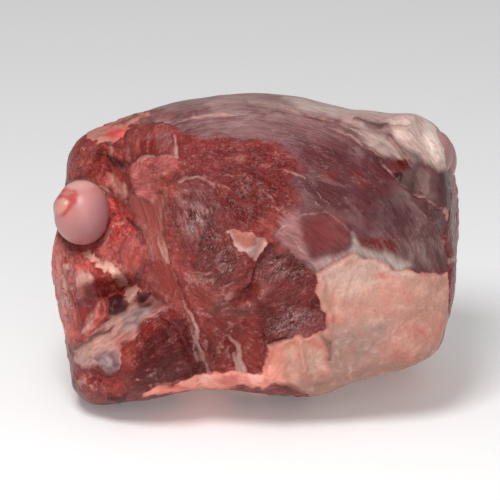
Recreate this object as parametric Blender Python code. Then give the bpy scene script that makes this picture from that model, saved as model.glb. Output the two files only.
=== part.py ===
"""Leg of lamb, raw, with the thigh bone in and the shank off, at real size.

The frame has +X from the hip end to the knee end, -Y out of the cut inner side, and +Z up.
Sizes below are in millimetres. A place on the leg's front is given as (along, up), measured
in the plane that a viewer 20 degrees above the front sees, from that plane's centre.
"""

import math

import bmesh
import bpy
import numpy as np

MM = 0.001

# Overall size and stance
HALF_LENGTH = 103.0
HALF_HEIGHT = 77.0
SEEN_FROM = math.radians(20.0)
ROUNDNESS = 3.6
BACK_ROUNDNESS = 2.7
KNEE_END_SQUARENESS = 9.0
GROUND = -74.0
CENTRE_SHIFT = (0.5, -1.5)

# Outline that the leg shows to the viewer, from the lower hip corner and round by the knee
OUTLINE = (
    (-91.0, -72.5), (-80.5, -79.0), (-65.5, -76.5), (-43.0, -72.5), (-28.0, -70.0),
    (-13.0, -70.3), (2.0, -72.3), (17.0, -73.3), (32.0, -73.5), (47.0, -66.5),
    (62.0, -62.2), (77.0, -58.5), (84.5, -56.3), (92.5, -50.5), (97.0, -34.5),
    (100.2, -18.5), (101.6, 0.0), (103.2, 19.0), (102.2, 36.0), (101.0, 50.0),
    (97.5, 56.0), (94.5, 59.0), (90.5, 64.0), (86.5, 67.0), (69.5, 66.0),
    (47.0, 68.5), (32.0, 72.7), (9.5, 76.7), (-13.0, 76.5), (-28.0, 74.5),
    (-50.5, 69.7), (-60.0, 67.3), (-73.0, 62.0), (-81.0, 59.5), (-88.0, 55.5),
    (-93.0, 48.0), (-95.0, 34.0), (-96.5, 18.0), (-101.0, 4.0), (-102.3, -7.0),
    (-99.5, -23.5), (-96.0, -38.5), (-93.0, -56.0),
)
OUTLINE_BLUR_DEG = 2.0

# Thickness in front of that plane and behind it, at places along the leg
FRONT_DEPTH = ((-104, 30), (-84, 38), (-62, 47), (-25, 54), (40, 53), (75, 47), (104, 36))
BACK_DEPTH = ((-104, 46), (-60, 62), (0, 68), (60, 60), (104, 44))
BACK_LEAN = 0.22

# Gentle lumps all over: height, and the length of one swell along the leg and up it
LUMP_HEIGHT = 0.9
LUMP_LENGTH = (74.0, 58.0)

# Cut end at the knee: how far its front edge stands back, high up and low down
KNEE_EDGE_BACK = ((-70.0, 2.0), (-10.0, 2.5), (12.0, 9.0), (70.0, 10.0))
KNEE_EDGE_DEPTH = (-24.0, 36.0)
KNEE_DISH = ((45.0, -7.0), (19.0, 27.0), 2.0)

# Bulges of single muscles: centre (along, up), half sizes, turn in degrees, height
BULGES = (
    ((-53.0, -54.0), (30.0, 20.0), 8.0, 7.0),
    ((-86.0, -50.0), (13.0, 17.0), 0.0, 4.0),
    ((-26.0, 6.0), (26.0, 34.0), 0.0, 4.0),
    ((16.0, -27.0), (17.0, 19.0), -20.0, 5.0),
    ((-5.0, 3.0), (11.0, 8.0), -35.0, 2.5),
    ((-62.0, 52.0), (11.0, 10.0), 0.0, 4.0),
    ((-63.0, 30.0), (11.0, 12.0), 0.0, 3.0),
    ((-93.0, 40.0), (9.0, 16.0), 0.0, 4.0),
    ((-89.0, -18.0), (9.0, 26.0), 10.0, 5.0),
    ((36.0, 40.0), (52.0, 20.0), -24.0, 5.0),
    ((80.0, 58.0), (13.0, 9.0), 0.0, 5.0),
    ((93.0, 26.0), (9.0, 20.0), 0.0, 4.0),
    ((44.0, -66.0), (15.0, 8.0), 20.0, 4.0),
)

# Hollows: centre (along, up), half sizes, turn in degrees, depth
HOLLOWS = (
    ((-86.0, 17.0), (20.0, 21.0), 0.0, 14.0),
    ((-70.0, 42.0), (9.0, 10.0), -35.0, 10.0),
    ((-72.0, -20.5), (13.0, 4.5), 10.0, 15.0),
    ((-82.0, -30.0), (5.0, 13.0), 12.0, 4.0),
    ((-71.0, 63.0), (11.0, 5.0), 25.0, 4.0),
    ((-34.0, -30.0), (15.0, 9.0), -30.0, 4.0),
    ((0.0, -44.0), (20.0, 15.0), 25.0, 4.0),
    ((66.0, 39.0), (9.0, 5.0), -15.0, 4.0),
    ((88.0, 33.0), (5.0, 12.0), -25.0, 3.0),
    ((45.0, -52.0), (3.5, 12.0), 0.0, 3.0),
)

# Clefts between muscles: path of (along, up), width, depth
CLEFTS = (
    (((-58.0, -25.0), (-47.0, -29.0), (-37.0, -41.0), (-29.0, -56.0), (-26.0, -70.0)), 3.2, 4.0),
    (((4.0, 3.0), (0.0, -7.0), (-3.0, -17.0), (-7.0, -25.0)), 3.0, 4.5),
    (((-54.0, 63.0), (-53.0, 53.0), (-53.0, 46.0), (-58.0, 36.0)), 3.0, 3.0),
    (((-73.0, 56.0), (-76.0, 42.0), (-72.0, 28.0), (-66.0, 14.0)), 3.0, 4.0),
    (((-96.0, -41.0), (-85.0, -36.0), (-75.0, -30.0), (-66.0, -24.0)), 3.2, 4.0),
    (((-86.0, -63.0), (-76.0, -62.0), (-66.0, -66.0)), 3.0, 3.0),
    (((-58.0, -4.0), (-62.0, -13.0), (-66.0, -18.0)), 3.2, 5.0),
    (((62.0, 49.0), (76.0, 36.0), (92.0, 20.0)), 3.0, 2.5),
)

# Raised cords of sinew and gristle: path of (along, up), width, height
CORDS = (
    (((-94.0, -42.0), (-82.0, -37.0), (-68.0, -25.0), (-56.0, -21.0)), 4.5, 5.0),
    (((-72.0, 14.0), (-60.0, 0.0), (-52.0, -20.0), (-38.0, -42.0)), 4.5, 2.5),
    (((-24.0, 72.0), (20.0, 66.0), (52.0, 60.0), (84.0, 64.0)), 4.0, 2.5),
    (((52.0, 60.0), (68.0, 44.0), (80.0, 30.0), (95.0, 14.0)), 4.0, 2.0),
)

# Fat cap: its edge on the front, its thickness and how softly the edge rises
FAT_EDGE = (
    (-46.0, -70.0), (-30.0, -67.0), (-12.0, -63.0), (2.0, -60.0), (10.0, -50.0),
    (22.0, -46.0), (34.0, -46.0), (35.0, -36.0), (31.0, -24.0), (28.0, -11.0),
    (40.0, -6.0), (58.0, -8.0), (74.0, -10.0), (88.0, -12.0), (104.0, -8.0),
    (112.0, -30.0), (108.0, -70.0), (60.0, -90.0), (-50.0, -90.0),
)
FAT_THICKNESS = 3.8
FAT_EDGE_WIDTH = 1.3

# Thigh bone: head, neck, shaft and the two knuckles of the knee, as (along, up, out)
HEAD_CENTRE = (-85.8, 17.4, 29.0)
HEAD_HALF = (14.0, 16.0, 14.5)
NECK_END = (-62.0, 15.0, 2.0)
NECK_RADIUS = (8.0, 11.5)
TROCHANTER = ((-66.0, 10.0, -20.0), (13.0, 14.0, 15.0))
SHAFT = (
    ((-62.0, 13.0, -2.0), 11.0), ((-40.0, 16.0, -7.0), 9.2), ((0.0, 23.0, -11.0), 8.4),
    ((40.0, 33.0, -11.0), 9.0), ((66.0, 40.0, -8.0), 11.5), ((80.0, 44.0, -6.0), 12.5),
)
KNUCKLES = (
    ((89.0, 47.0, 3.0), (9.5, 12.0, 12.0)),
    ((92.0, 44.0, -19.0), (9.5, 13.5, 13.0)),
)
KNEE_GROOVE = ((92.0, 59.0, -8.0), (14.0, 7.0, 6.5))
BONE_GAP = 0.45

# Mesh sizes
BODY_CUTS = (183, 71, 131)
BODY_TRIANGLES = 9000
FLAT_BAND = 0.5
BONE_VOXEL = 1.6
BONE_TRIANGLES = 1700
TUBE_SIDES = 20

MEAT_COLOUR = (0.26, 0.055, 0.048, 1.0)
BONE_COLOUR = (0.60, 0.32, 0.29, 1.0)


def to_part_frame(along, up, out):
    """Places in the seen plane, in mm, as X, Y, Z in mm with the ground at zero."""
    sine = math.sin(SEEN_FROM)
    cosine = math.cos(SEEN_FROM)
    x = along - CENTRE_SHIFT[0]
    y = up * sine - out * cosine - CENTRE_SHIFT[1]
    z = up * cosine + out * sine - GROUND
    return x, y, z


def point(place):
    """One (along, up, out) in mm as a point in metres."""
    return [value * MM for value in to_part_frame(*place)]


def outline_radius(angle):
    """Distance in mm from the centre to the outline, at each angle."""
    corners = np.array(OUTLINE)
    corner_angles = np.arctan2(corners[:, 1], corners[:, 0])
    corner_radii = np.hypot(corners[:, 0], corners[:, 1])
    steps = 720
    fine = np.linspace(-math.pi, math.pi, steps, endpoint=False)
    radii = np.interp(fine, *sorted_pair(corner_angles, corner_radii), period=2 * math.pi)
    spread = np.arange(-steps // 2, steps // 2) * 360.0 / steps
    kernel = np.exp(-0.5 * (spread / OUTLINE_BLUR_DEG) ** 2)
    kernel /= kernel.sum()
    softened = np.fft.ifft(np.fft.fft(radii) * np.fft.fft(np.fft.ifftshift(kernel))).real
    return np.interp(angle, fine, softened, period=2 * math.pi)


def sorted_pair(keys, values):
    order = np.argsort(keys)
    return keys[order], values[order]


def along_table(table, along):
    """A value given at places along the leg, read smoothly at every place."""
    places, values = np.array(table, float).T
    reach = 9.0
    shifts = np.linspace(-reach, reach, 7)
    return np.mean([np.interp(along + shift, places, values) for shift in shifts], axis=0)


def distance_to_path(along, up, path):
    """Distance in mm from each place to an open path."""
    nearest = np.full(along.shape, 1e9)
    for (x0, y0), (x1, y1) in zip(path, path[1:]):
        dx, dy = x1 - x0, y1 - y0
        share = ((along - x0) * dx + (up - y0) * dy) / (dx * dx + dy * dy)
        share = np.clip(share, 0.0, 1.0)
        gap = np.hypot(along - x0 - share * dx, up - y0 - share * dy)
        nearest = np.minimum(nearest, gap)
    return nearest


def inside_distance(along, up, edge):
    """Distance in mm to a closed edge, positive inside it."""
    closed = tuple(edge) + (edge[0],)
    inside = np.zeros(along.shape, bool)
    for (x0, y0), (x1, y1) in zip(closed, closed[1:]):
        crosses = (y0 > up) != (y1 > up)
        rise = y1 - y0 if y1 != y0 else 1e-9
        inside ^= crosses & (along < (x1 - x0) * (up - y0) / rise + x0)
    return np.where(inside, 1.0, -1.0) * distance_to_path(along, up, closed)


def dome(along, up, centre, half, turn, power=2.0):
    """A smooth hump that is 1 at its centre and fades past its half sizes."""
    angle = math.radians(turn)
    dx, dy = along - centre[0], up - centre[1]
    a = (dx * math.cos(angle) + dy * math.sin(angle)) / half[0]
    b = (dy * math.cos(angle) - dx * math.sin(angle)) / half[1]
    return np.exp(-((a * a + b * b) ** (power / 2.0)))


def front_relief(along, up):
    """Height in mm of muscles, clefts, sinew and the fat cap on the front."""
    height = np.zeros(along.shape)
    for centre, half, turn, rise in BULGES:
        height += rise * dome(along, up, centre, half, turn)
    for centre, half, turn, depth in HOLLOWS:
        height -= depth * dome(along, up, centre, half, turn, 3.0)
    for path, width, depth in CLEFTS:
        height -= depth * np.exp(-((distance_to_path(along, up, path) / width) ** 2))
    for path, width, rise in CORDS:
        height += rise * np.exp(-((distance_to_path(along, up, path) / width) ** 2))
    fat = inside_distance(along, up, FAT_EDGE)
    height += FAT_THICKNESS / (1.0 + np.exp(-fat / FAT_EDGE_WIDTH))
    return height


def lumps(along, up):
    """A gentle unevenness of the whole surface, in mm."""
    a, b = (2.0 * math.pi * value / length for value, length in zip((along, up), LUMP_LENGTH))
    swell = np.sin(a + 0.6) * np.cos(b + 1.1) + 0.7 * np.sin(a * 1.6 - b * 0.8 + 2.0)
    swell += 0.5 * np.cos(b * 1.9 - a * 1.3 + 0.4)
    return LUMP_HEIGHT * swell


def knee_end(along, up, out):
    """Turns the cut end at the knee a little to the front, and dishes it round the bone."""
    back, front = KNEE_EDGE_DEPTH
    turn = np.clip((out - back) / (front - back), 0.0, 1.0)
    near = np.clip((along - 60.0) / 38.0, 0.0, 1.0)
    near = near * near * (3.0 - 2.0 * near)
    dish = dome(up, out, *KNEE_DISH[:2], 0.0, 4.0) * KNEE_DISH[2]
    end = np.clip((along - 93.0) / 6.0, 0.0, 1.0)
    return along - near * turn * along_table(KNEE_EDGE_BACK, up) - end * dish


def leg_surface(cube):
    """Moves points of a cube from -1 to 1 onto the leg. Columns: along, depth, up."""
    x, w, z = np.abs(cube).T
    rounding = ROUNDNESS + (BACK_ROUNDNESS - ROUNDNESS) * np.clip(-cube[:, 1], 0.0, 1.0)
    corner = rounding + (KNEE_END_SQUARENESS - rounding) * np.clip(cube[:, 0] * 2.0 - 0.6, 0.0, 1.0)
    level = np.power(x**corner + w**corner, rounding / corner)
    size = np.power(level + z**rounding, 1.0 / rounding)
    along, depth, up = (cube / size[:, None]).T
    ring = np.power(np.abs(along) ** rounding + np.abs(up) ** rounding, 1.0 / rounding)
    angle = np.arctan2(HALF_HEIGHT * up, HALF_LENGTH * along)
    reach = ring * outline_radius(angle)
    seen_along = reach * np.cos(angle)
    seen_up = reach * np.sin(angle)
    front = along_table(FRONT_DEPTH, seen_along)
    back = along_table(BACK_DEPTH, seen_along) - BACK_LEAN * seen_up
    shoulder = np.clip(depth * 1.6, 0.0, 1.0)
    shoulder = shoulder * shoulder * (3.0 - 2.0 * shoulder)
    out = np.where(depth > 0.0, front, back) * depth
    out += shoulder * front_relief(seen_along, seen_up)
    away = np.clip(np.abs(depth) * 1.4, 0.0, 1.0) ** 2
    out += np.sign(depth) * away * lumps(seen_along, seen_up)
    x, y, z = to_part_frame(knee_end(seen_along, seen_up, out), seen_up, out)
    return np.stack([x, y, np.maximum(z, 0.0)], axis=1) * MM


def grid_cube(cuts):
    """A closed cube from -1 to 1 whose faces are split into an even grid."""
    work = bmesh.new()
    bmesh.ops.create_cube(work, size=2.0)
    for axis, count in enumerate(cuts):
        edges = []
        for edge in work.edges:
            span = edge.verts[1].co - edge.verts[0].co
            if abs(span[axis]) > 1.0:
                edges.append(edge)
        bmesh.ops.subdivide_edges(work, edges=edges, cuts=count, use_grid_fill=True)
    bmesh.ops.triangulate(work, faces=work.faces)
    return work


def ellipsoid(centre, half, detail=3):
    """A ball stretched along the seen plane's axes, as a mesh in metres."""
    work = bmesh.new()
    bmesh.ops.create_icosphere(work, subdivisions=detail, radius=1.0)
    for vert in work.verts:
        place = [centre[i] + half[i] * vert.co[i] for i in range(3)]
        vert.co = point(place)
    bmesh.ops.recalc_face_normals(work, faces=work.faces)
    return work


def tube(stations):
    """A round bar through (place, radius) stations, closed at both ends, in metres."""
    work = bmesh.new()
    rings = []
    for place, radius in stations:
        ring = []
        for side in range(TUBE_SIDES):
            turn = 2.0 * math.pi * side / TUBE_SIDES
            spot = (place[0], place[1] + radius * math.cos(turn), place[2] + radius * math.sin(turn))
            ring.append(work.verts.new(point(spot)))
        rings.append([work.edges.new((ring[i], ring[i - 1])) for i in range(TUBE_SIDES)])
    for first, second in zip(rings, rings[1:]):
        bmesh.ops.bridge_loops(work, edges=first + second)
    bmesh.ops.holes_fill(work, edges=work.edges, sides=TUBE_SIDES)
    bmesh.ops.recalc_face_normals(work, faces=work.faces)
    return work


def place_object(name, work, collection=None):
    """Turns a bmesh into an object of that name in the scene or in a collection."""
    mesh = bpy.data.meshes.new(name)
    work.to_mesh(mesh)
    work.free()
    made = bpy.data.objects.new(name, mesh)
    (collection or bpy.context.scene.collection).objects.link(made)
    return made


def apply_modifiers(made):
    """Replaces an object's mesh by its evaluated one, and drops its modifiers."""
    graph = bpy.context.evaluated_depsgraph_get()
    mesh = bpy.data.meshes.new_from_object(made.evaluated_get(graph))
    made.modifiers.clear()
    made.data = mesh


def thin_out(made, triangles):
    """Collapses a mesh to about that many triangles, keeping its form."""
    modifier = made.modifiers.new("thin_out", "DECIMATE")
    modifier.ratio = triangles / len(made.data.polygons)
    modifier.use_collapse_triangulate = True
    apply_modifiers(made)


def material(name, colour, roughness):
    made = bpy.data.materials.new(name)
    made.use_nodes = True
    shader = made.node_tree.nodes["Principled BSDF"]
    shader.inputs["Base Color"].default_value = colour
    shader.inputs["Roughness"].default_value = roughness
    shader.inputs["Metallic"].default_value = 0.0
    return made


def build_bone():
    """The thigh bone as one solid, its parts melted together by a voxel remesh."""
    pieces = bpy.data.collections.new("bone_pieces")
    bpy.context.scene.collection.children.link(pieces)
    place_object("neck", tube(((HEAD_CENTRE, NECK_RADIUS[0]), (NECK_END, NECK_RADIUS[1]))), pieces)
    place_object("trochanter", ellipsoid(*TROCHANTER), pieces)
    place_object("shaft", tube(SHAFT), pieces)
    for number, knuckle in enumerate(KNUCKLES):
        place_object(f"knuckle_{number}", ellipsoid(*knuckle), pieces)
    head = ellipsoid(HEAD_CENTRE, HEAD_HALF)
    bone = place_object("femur", head)
    joined = bone.modifiers.new("join", "BOOLEAN")
    joined.operand_type = "COLLECTION"
    joined.collection = pieces
    joined.operation = "UNION"
    joined.solver = "EXACT"
    apply_modifiers(bone)
    groove = place_object("groove", ellipsoid(*KNEE_GROOVE))
    cut = bone.modifiers.new("groove", "BOOLEAN")
    cut.object = groove
    cut.operation = "DIFFERENCE"
    cut.solver = "EXACT"
    melt = bone.modifiers.new("melt", "REMESH")
    melt.mode = "VOXEL"
    melt.voxel_size = BONE_VOXEL * MM
    soften = bone.modifiers.new("soften", "SMOOTH")
    soften.factor = 0.5
    soften.iterations = 6
    apply_modifiers(bone)
    triangulate = bmesh.new()
    triangulate.from_mesh(bone.data)
    bmesh.ops.triangulate(triangulate, faces=triangulate.faces)
    triangulate.to_mesh(bone.data)
    triangulate.free()
    thin_out(bone, BONE_TRIANGLES)
    for helper in list(pieces.objects) + [groove]:
        bpy.data.objects.remove(helper)
    bpy.data.collections.remove(pieces)
    bone.data.shade_smooth()
    bone.data.materials.append(material("bone", BONE_COLOUR, 0.3))
    return bone


def build_meat(bone):
    """The meat as one solid, with the bone's own space left free in it."""
    work = grid_cube(BODY_CUTS)
    cube = np.array([vert.co[:] for vert in work.verts])
    for vert, place in zip(work.verts, leg_surface(cube)):
        vert.co = place
    meat = place_object("meat", work)
    thin_out(meat, BODY_TRIANGLES)
    for vert in meat.data.vertices:
        if vert.co.z < FLAT_BAND * MM:
            vert.co.z = 0.0
    space = bone.copy()
    space.data = bone.data.copy()
    space.name = "bone_space"
    bpy.context.scene.collection.objects.link(space)
    grow = space.modifiers.new("gap", "DISPLACE")
    grow.mid_level = 0.0
    grow.strength = BONE_GAP * MM
    apply_modifiers(space)
    cut = meat.modifiers.new("bone_space", "BOOLEAN")
    cut.object = space
    cut.operation = "DIFFERENCE"
    cut.solver = "EXACT"
    apply_modifiers(meat)
    bpy.data.objects.remove(space)
    meat.data.materials.clear()
    meat.data.materials.append(material("meat", MEAT_COLOUR, 0.35))
    return meat


def main():
    for old in list(bpy.data.objects):
        bpy.data.objects.remove(old)
    bone = build_bone()
    build_meat(bone)


main()
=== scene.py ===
"""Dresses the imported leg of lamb: bare muscle, silverskin, fat cap, sinew and joint gristle."""

import math

import bmesh
import bpy
import numpy as np
from bpy.props import FloatProperty, FloatVectorProperty, IntProperty, PointerProperty
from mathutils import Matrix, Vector


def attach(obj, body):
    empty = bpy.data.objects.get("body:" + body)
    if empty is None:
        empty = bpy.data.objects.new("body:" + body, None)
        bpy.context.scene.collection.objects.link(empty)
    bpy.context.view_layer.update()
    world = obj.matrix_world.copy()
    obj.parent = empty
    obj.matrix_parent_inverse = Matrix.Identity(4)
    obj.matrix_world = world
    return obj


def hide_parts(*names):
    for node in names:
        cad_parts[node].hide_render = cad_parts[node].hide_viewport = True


bl_info = {
    "name": "Leg of lamb",
    "version": (1, 0, 0),
    "blender": (4, 5, 0),
    "location": "3D View > Sidebar > Lamb",
    "description": "Raw leg of lamb with bare muscle, silverskin, fat cap and thigh bone",
    "category": "Add Mesh",
}

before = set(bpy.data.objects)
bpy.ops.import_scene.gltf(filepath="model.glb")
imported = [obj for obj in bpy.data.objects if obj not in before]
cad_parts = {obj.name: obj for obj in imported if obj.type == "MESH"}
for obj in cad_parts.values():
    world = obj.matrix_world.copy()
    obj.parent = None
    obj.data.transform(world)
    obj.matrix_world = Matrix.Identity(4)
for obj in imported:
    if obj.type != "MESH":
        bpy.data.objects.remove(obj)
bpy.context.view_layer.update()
MM = 0.001

# The solid's own form, as the part's source gives it, in millimetres in the seen plane
HALF_LENGTH = 103.0
HALF_HEIGHT = 77.0
SEEN_FROM = math.radians(20.0)
ROUNDNESS = 3.6
BACK_ROUNDNESS = 2.7
KNEE_END_SQUARENESS = 9.0
GROUND = -74.0
CENTRE_SHIFT = (0.5, -1.5)
OUTLINE = (
    (-91.0, -72.5), (-80.5, -79.0), (-65.5, -76.5), (-43.0, -72.5), (-28.0, -70.0),
    (-13.0, -70.3), (2.0, -72.3), (17.0, -73.3), (32.0, -73.5), (47.0, -66.5),
    (62.0, -62.2), (77.0, -58.5), (84.5, -56.3), (92.5, -50.5), (97.0, -34.5),
    (100.2, -18.5), (101.6, 0.0), (103.2, 19.0), (102.2, 36.0), (101.0, 50.0),
    (97.5, 56.0), (94.5, 59.0), (90.5, 64.0), (86.5, 67.0), (69.5, 66.0),
    (47.0, 68.5), (32.0, 72.7), (9.5, 76.7), (-13.0, 76.5), (-28.0, 74.5),
    (-50.5, 69.7), (-60.0, 67.3), (-73.0, 62.0), (-81.0, 59.5), (-88.0, 55.5),
    (-93.0, 48.0), (-95.0, 34.0), (-96.5, 18.0), (-101.0, 4.0), (-102.3, -7.0),
    (-99.5, -23.5), (-96.0, -38.5), (-93.0, -56.0),
)
OUTLINE_BLUR_DEG = 2.0
FRONT_DEPTH = ((-104, 30), (-84, 38), (-62, 47), (-25, 54), (40, 53), (75, 47), (104, 36))
BACK_DEPTH = ((-104, 46), (-60, 62), (0, 68), (60, 60), (104, 44))
BACK_LEAN = 0.22
LUMP_LENGTH = (74.0, 58.0)
KNEE_EDGE_BACK = ((-70.0, 2.0), (-10.0, 2.5), (12.0, 9.0), (70.0, 10.0))
KNEE_EDGE_DEPTH = (-24.0, 36.0)
KNEE_RIM = ((-70.0, 40.0), (8.0, 38.0), (26.0, 15.0), (56.0, 13.0), (70.0, 24.0))
KNEE_DISH = ((45.0, -7.0), (19.0, 27.0), 2.0)
BULGES = (
    ((-53.0, -54.0), (30.0, 20.0), 8.0, 7.0),
    ((-86.0, -50.0), (13.0, 17.0), 0.0, 4.0),
    ((-26.0, 6.0), (26.0, 34.0), 0.0, 4.0),
    ((16.0, -27.0), (17.0, 19.0), -20.0, 5.0),
    ((-5.0, 3.0), (11.0, 8.0), -35.0, 2.5),
    ((-62.0, 52.0), (11.0, 10.0), 0.0, 4.0),
    ((-63.0, 30.0), (11.0, 12.0), 0.0, 3.0),
    ((-93.0, 40.0), (9.0, 16.0), 0.0, 4.0),
    ((-89.0, -18.0), (9.0, 26.0), 10.0, 5.0),
    ((36.0, 40.0), (52.0, 20.0), -24.0, 5.0),
    ((80.0, 58.0), (13.0, 9.0), 0.0, 5.0),
    ((93.0, 26.0), (9.0, 20.0), 0.0, 4.0),
    ((44.0, -66.0), (15.0, 8.0), 20.0, 4.0),
)
HOLLOWS = (
    ((-86.0, 17.0), (20.0, 21.0), 0.0, 14.0),
    ((-70.0, 42.0), (9.0, 10.0), -35.0, 10.0),
    ((-72.0, -20.5), (13.0, 4.5), 10.0, 15.0),
    ((-82.0, -30.0), (5.0, 13.0), 12.0, 4.0),
    ((-71.0, 63.0), (11.0, 5.0), 25.0, 4.0),
    ((-34.0, -30.0), (15.0, 9.0), -30.0, 4.0),
    ((0.0, -44.0), (20.0, 15.0), 25.0, 4.0),
    ((66.0, 39.0), (9.0, 5.0), -15.0, 4.0),
    ((88.0, 33.0), (5.0, 12.0), -25.0, 3.0),
    ((45.0, -52.0), (3.5, 12.0), 0.0, 3.0),
)
CLEFTS = (
    (((-58.0, -25.0), (-47.0, -29.0), (-37.0, -41.0), (-29.0, -56.0), (-26.0, -70.0)), 3.2, 4.0),
    (((4.0, 3.0), (0.0, -7.0), (-3.0, -17.0), (-7.0, -25.0)), 3.0, 4.5),
    (((-54.0, 63.0), (-53.0, 53.0), (-53.0, 46.0), (-58.0, 36.0)), 3.0, 3.0),
    (((-73.0, 56.0), (-76.0, 42.0), (-72.0, 28.0), (-66.0, 14.0)), 3.0, 4.0),
    (((-96.0, -41.0), (-85.0, -36.0), (-75.0, -30.0), (-66.0, -24.0)), 3.2, 4.0),
    (((-86.0, -63.0), (-76.0, -62.0), (-66.0, -66.0)), 3.0, 3.0),
    (((-58.0, -4.0), (-62.0, -13.0), (-66.0, -18.0)), 3.2, 5.0),
    (((62.0, 49.0), (76.0, 36.0), (92.0, 20.0)), 3.0, 2.5),
)
CORDS = (
    (((-94.0, -42.0), (-82.0, -37.0), (-68.0, -25.0), (-56.0, -21.0)), 4.5, 5.0),
    (((-72.0, 14.0), (-60.0, 0.0), (-52.0, -20.0), (-38.0, -42.0)), 4.5, 2.5),
    (((-24.0, 72.0), (20.0, 66.0), (52.0, 60.0), (84.0, 64.0)), 4.0, 2.5),
    (((52.0, 60.0), (68.0, 44.0), (80.0, 30.0), (95.0, 14.0)), 4.0, 2.0),
)
HEAD_CENTRE = (-85.8, 17.4, 29.0)
HEAD_HALF = (14.0, 16.0, 14.5)
NECK_END = (-62.0, 15.0, 2.0)
NECK_RADIUS = (8.0, 11.5)
TROCHANTER = ((-66.0, 10.0, -20.0), (13.0, 14.0, 15.0))
SHAFT = (
    ((-62.0, 13.0, -2.0), 11.0), ((-40.0, 16.0, -7.0), 9.2), ((0.0, 23.0, -11.0), 8.4),
    ((40.0, 33.0, -11.0), 9.0), ((66.0, 40.0, -8.0), 11.5), ((80.0, 44.0, -6.0), 12.5),
)
KNUCKLES = (
    ((89.0, 47.0, 3.0), (9.5, 12.0, 12.0)),
    ((92.0, 44.0, -19.0), (9.5, 13.5, 13.0)),
)
KNEE_GROOVE = ((92.0, 59.0, -8.0), (14.0, 7.0, 6.5))

# The photograph's frame: its width in pixels, the real size of a pixel at the leg, its centre
PICTURE_WIDTH = 500
PIXEL_MM = 0.5
PICTURE_CENTRE = (-3.0, -1.0)
CAMERA_DISTANCE = 1800.0

# Mesh fineness: cells of the body's cube, where its front cells are split again, the bone's
# voxel in mm, how often a ball is split, and the sides of a round bar
BODY_CELLS = (120, 36, 88)
FRONT_START = 0.12
BONE_VOXEL = 0.9
BALL_DETAIL = 5
TUBE_SIDES = 24

# Outlines on the front, in pixels of the photograph
FAT_CAP = (
    (313, 272), (317, 283), (314, 292), (319, 306), (326, 315), (327, 328), (316, 333),
    (304, 336), (293, 336), (276, 341), (266, 345), (265, 357), (260, 373), (243, 371),
    (229, 372), (213, 373), (199, 373), (188, 378), (173, 385), (153, 388), (144, 395),
    (144, 399), (163, 394), (184, 392), (213, 390), (226, 390), (243, 386), (262, 389),
    (280, 384), (296, 388), (312, 399), (329, 410), (470, 400), (446, 356), (439, 350),
    (448, 330), (452, 307), (455, 290), (456, 268), (443, 273), (429, 273), (414, 271),
    (409, 268), (396, 269), (391, 265), (374, 258), (363, 258), (356, 250), (346, 255),
    (334, 262), (324, 270),
)
SILVERSKIN = (
    (128, 121), (138, 125), (149, 124), (163, 126), (174, 128), (184, 134), (196, 137),
    (213, 139), (223, 137), (234, 139), (256, 139), (271, 142), (288, 150), (296, 158),
    (299, 168), (294, 176), (286, 181), (291, 188), (299, 195), (298, 205), (288, 211),
    (279, 220), (276, 230), (271, 235), (280, 246), (296, 259), (308, 268), (320, 280),
    (480, 290), (480, 70), (128, 70), (120, 112),
)
FAT_PATCHES = {
    "hip_top": ((84, 132), (92, 125), (112, 122), (128, 126), (129, 131), (118, 142), (104, 144),
                (92, 141)),
    "hip_edge": ((108, 122), (124, 116), (140, 112), (152, 112), (142, 119), (128, 125),
                 (112, 127)),
    "left_band": ((82, 248), (90, 250), (98, 259), (110, 262), (119, 270), (127, 282),
                  (124, 287), (115, 279), (107, 270), (96, 268), (89, 258), (82, 254)),
    "node": ((227, 231), (235, 228), (244, 233), (254, 232), (262, 238), (269, 249), (262, 251),
             (257, 260), (250, 258), (244, 252), (238, 249), (231, 242)),
    "cave_strand": ((125, 289), (132, 285), (140, 288), (137, 296), (134, 305), (126, 301)),
    "edge_corner": ((444, 208), (455, 211), (457, 222), (452, 227), (445, 219)),
}

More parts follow.
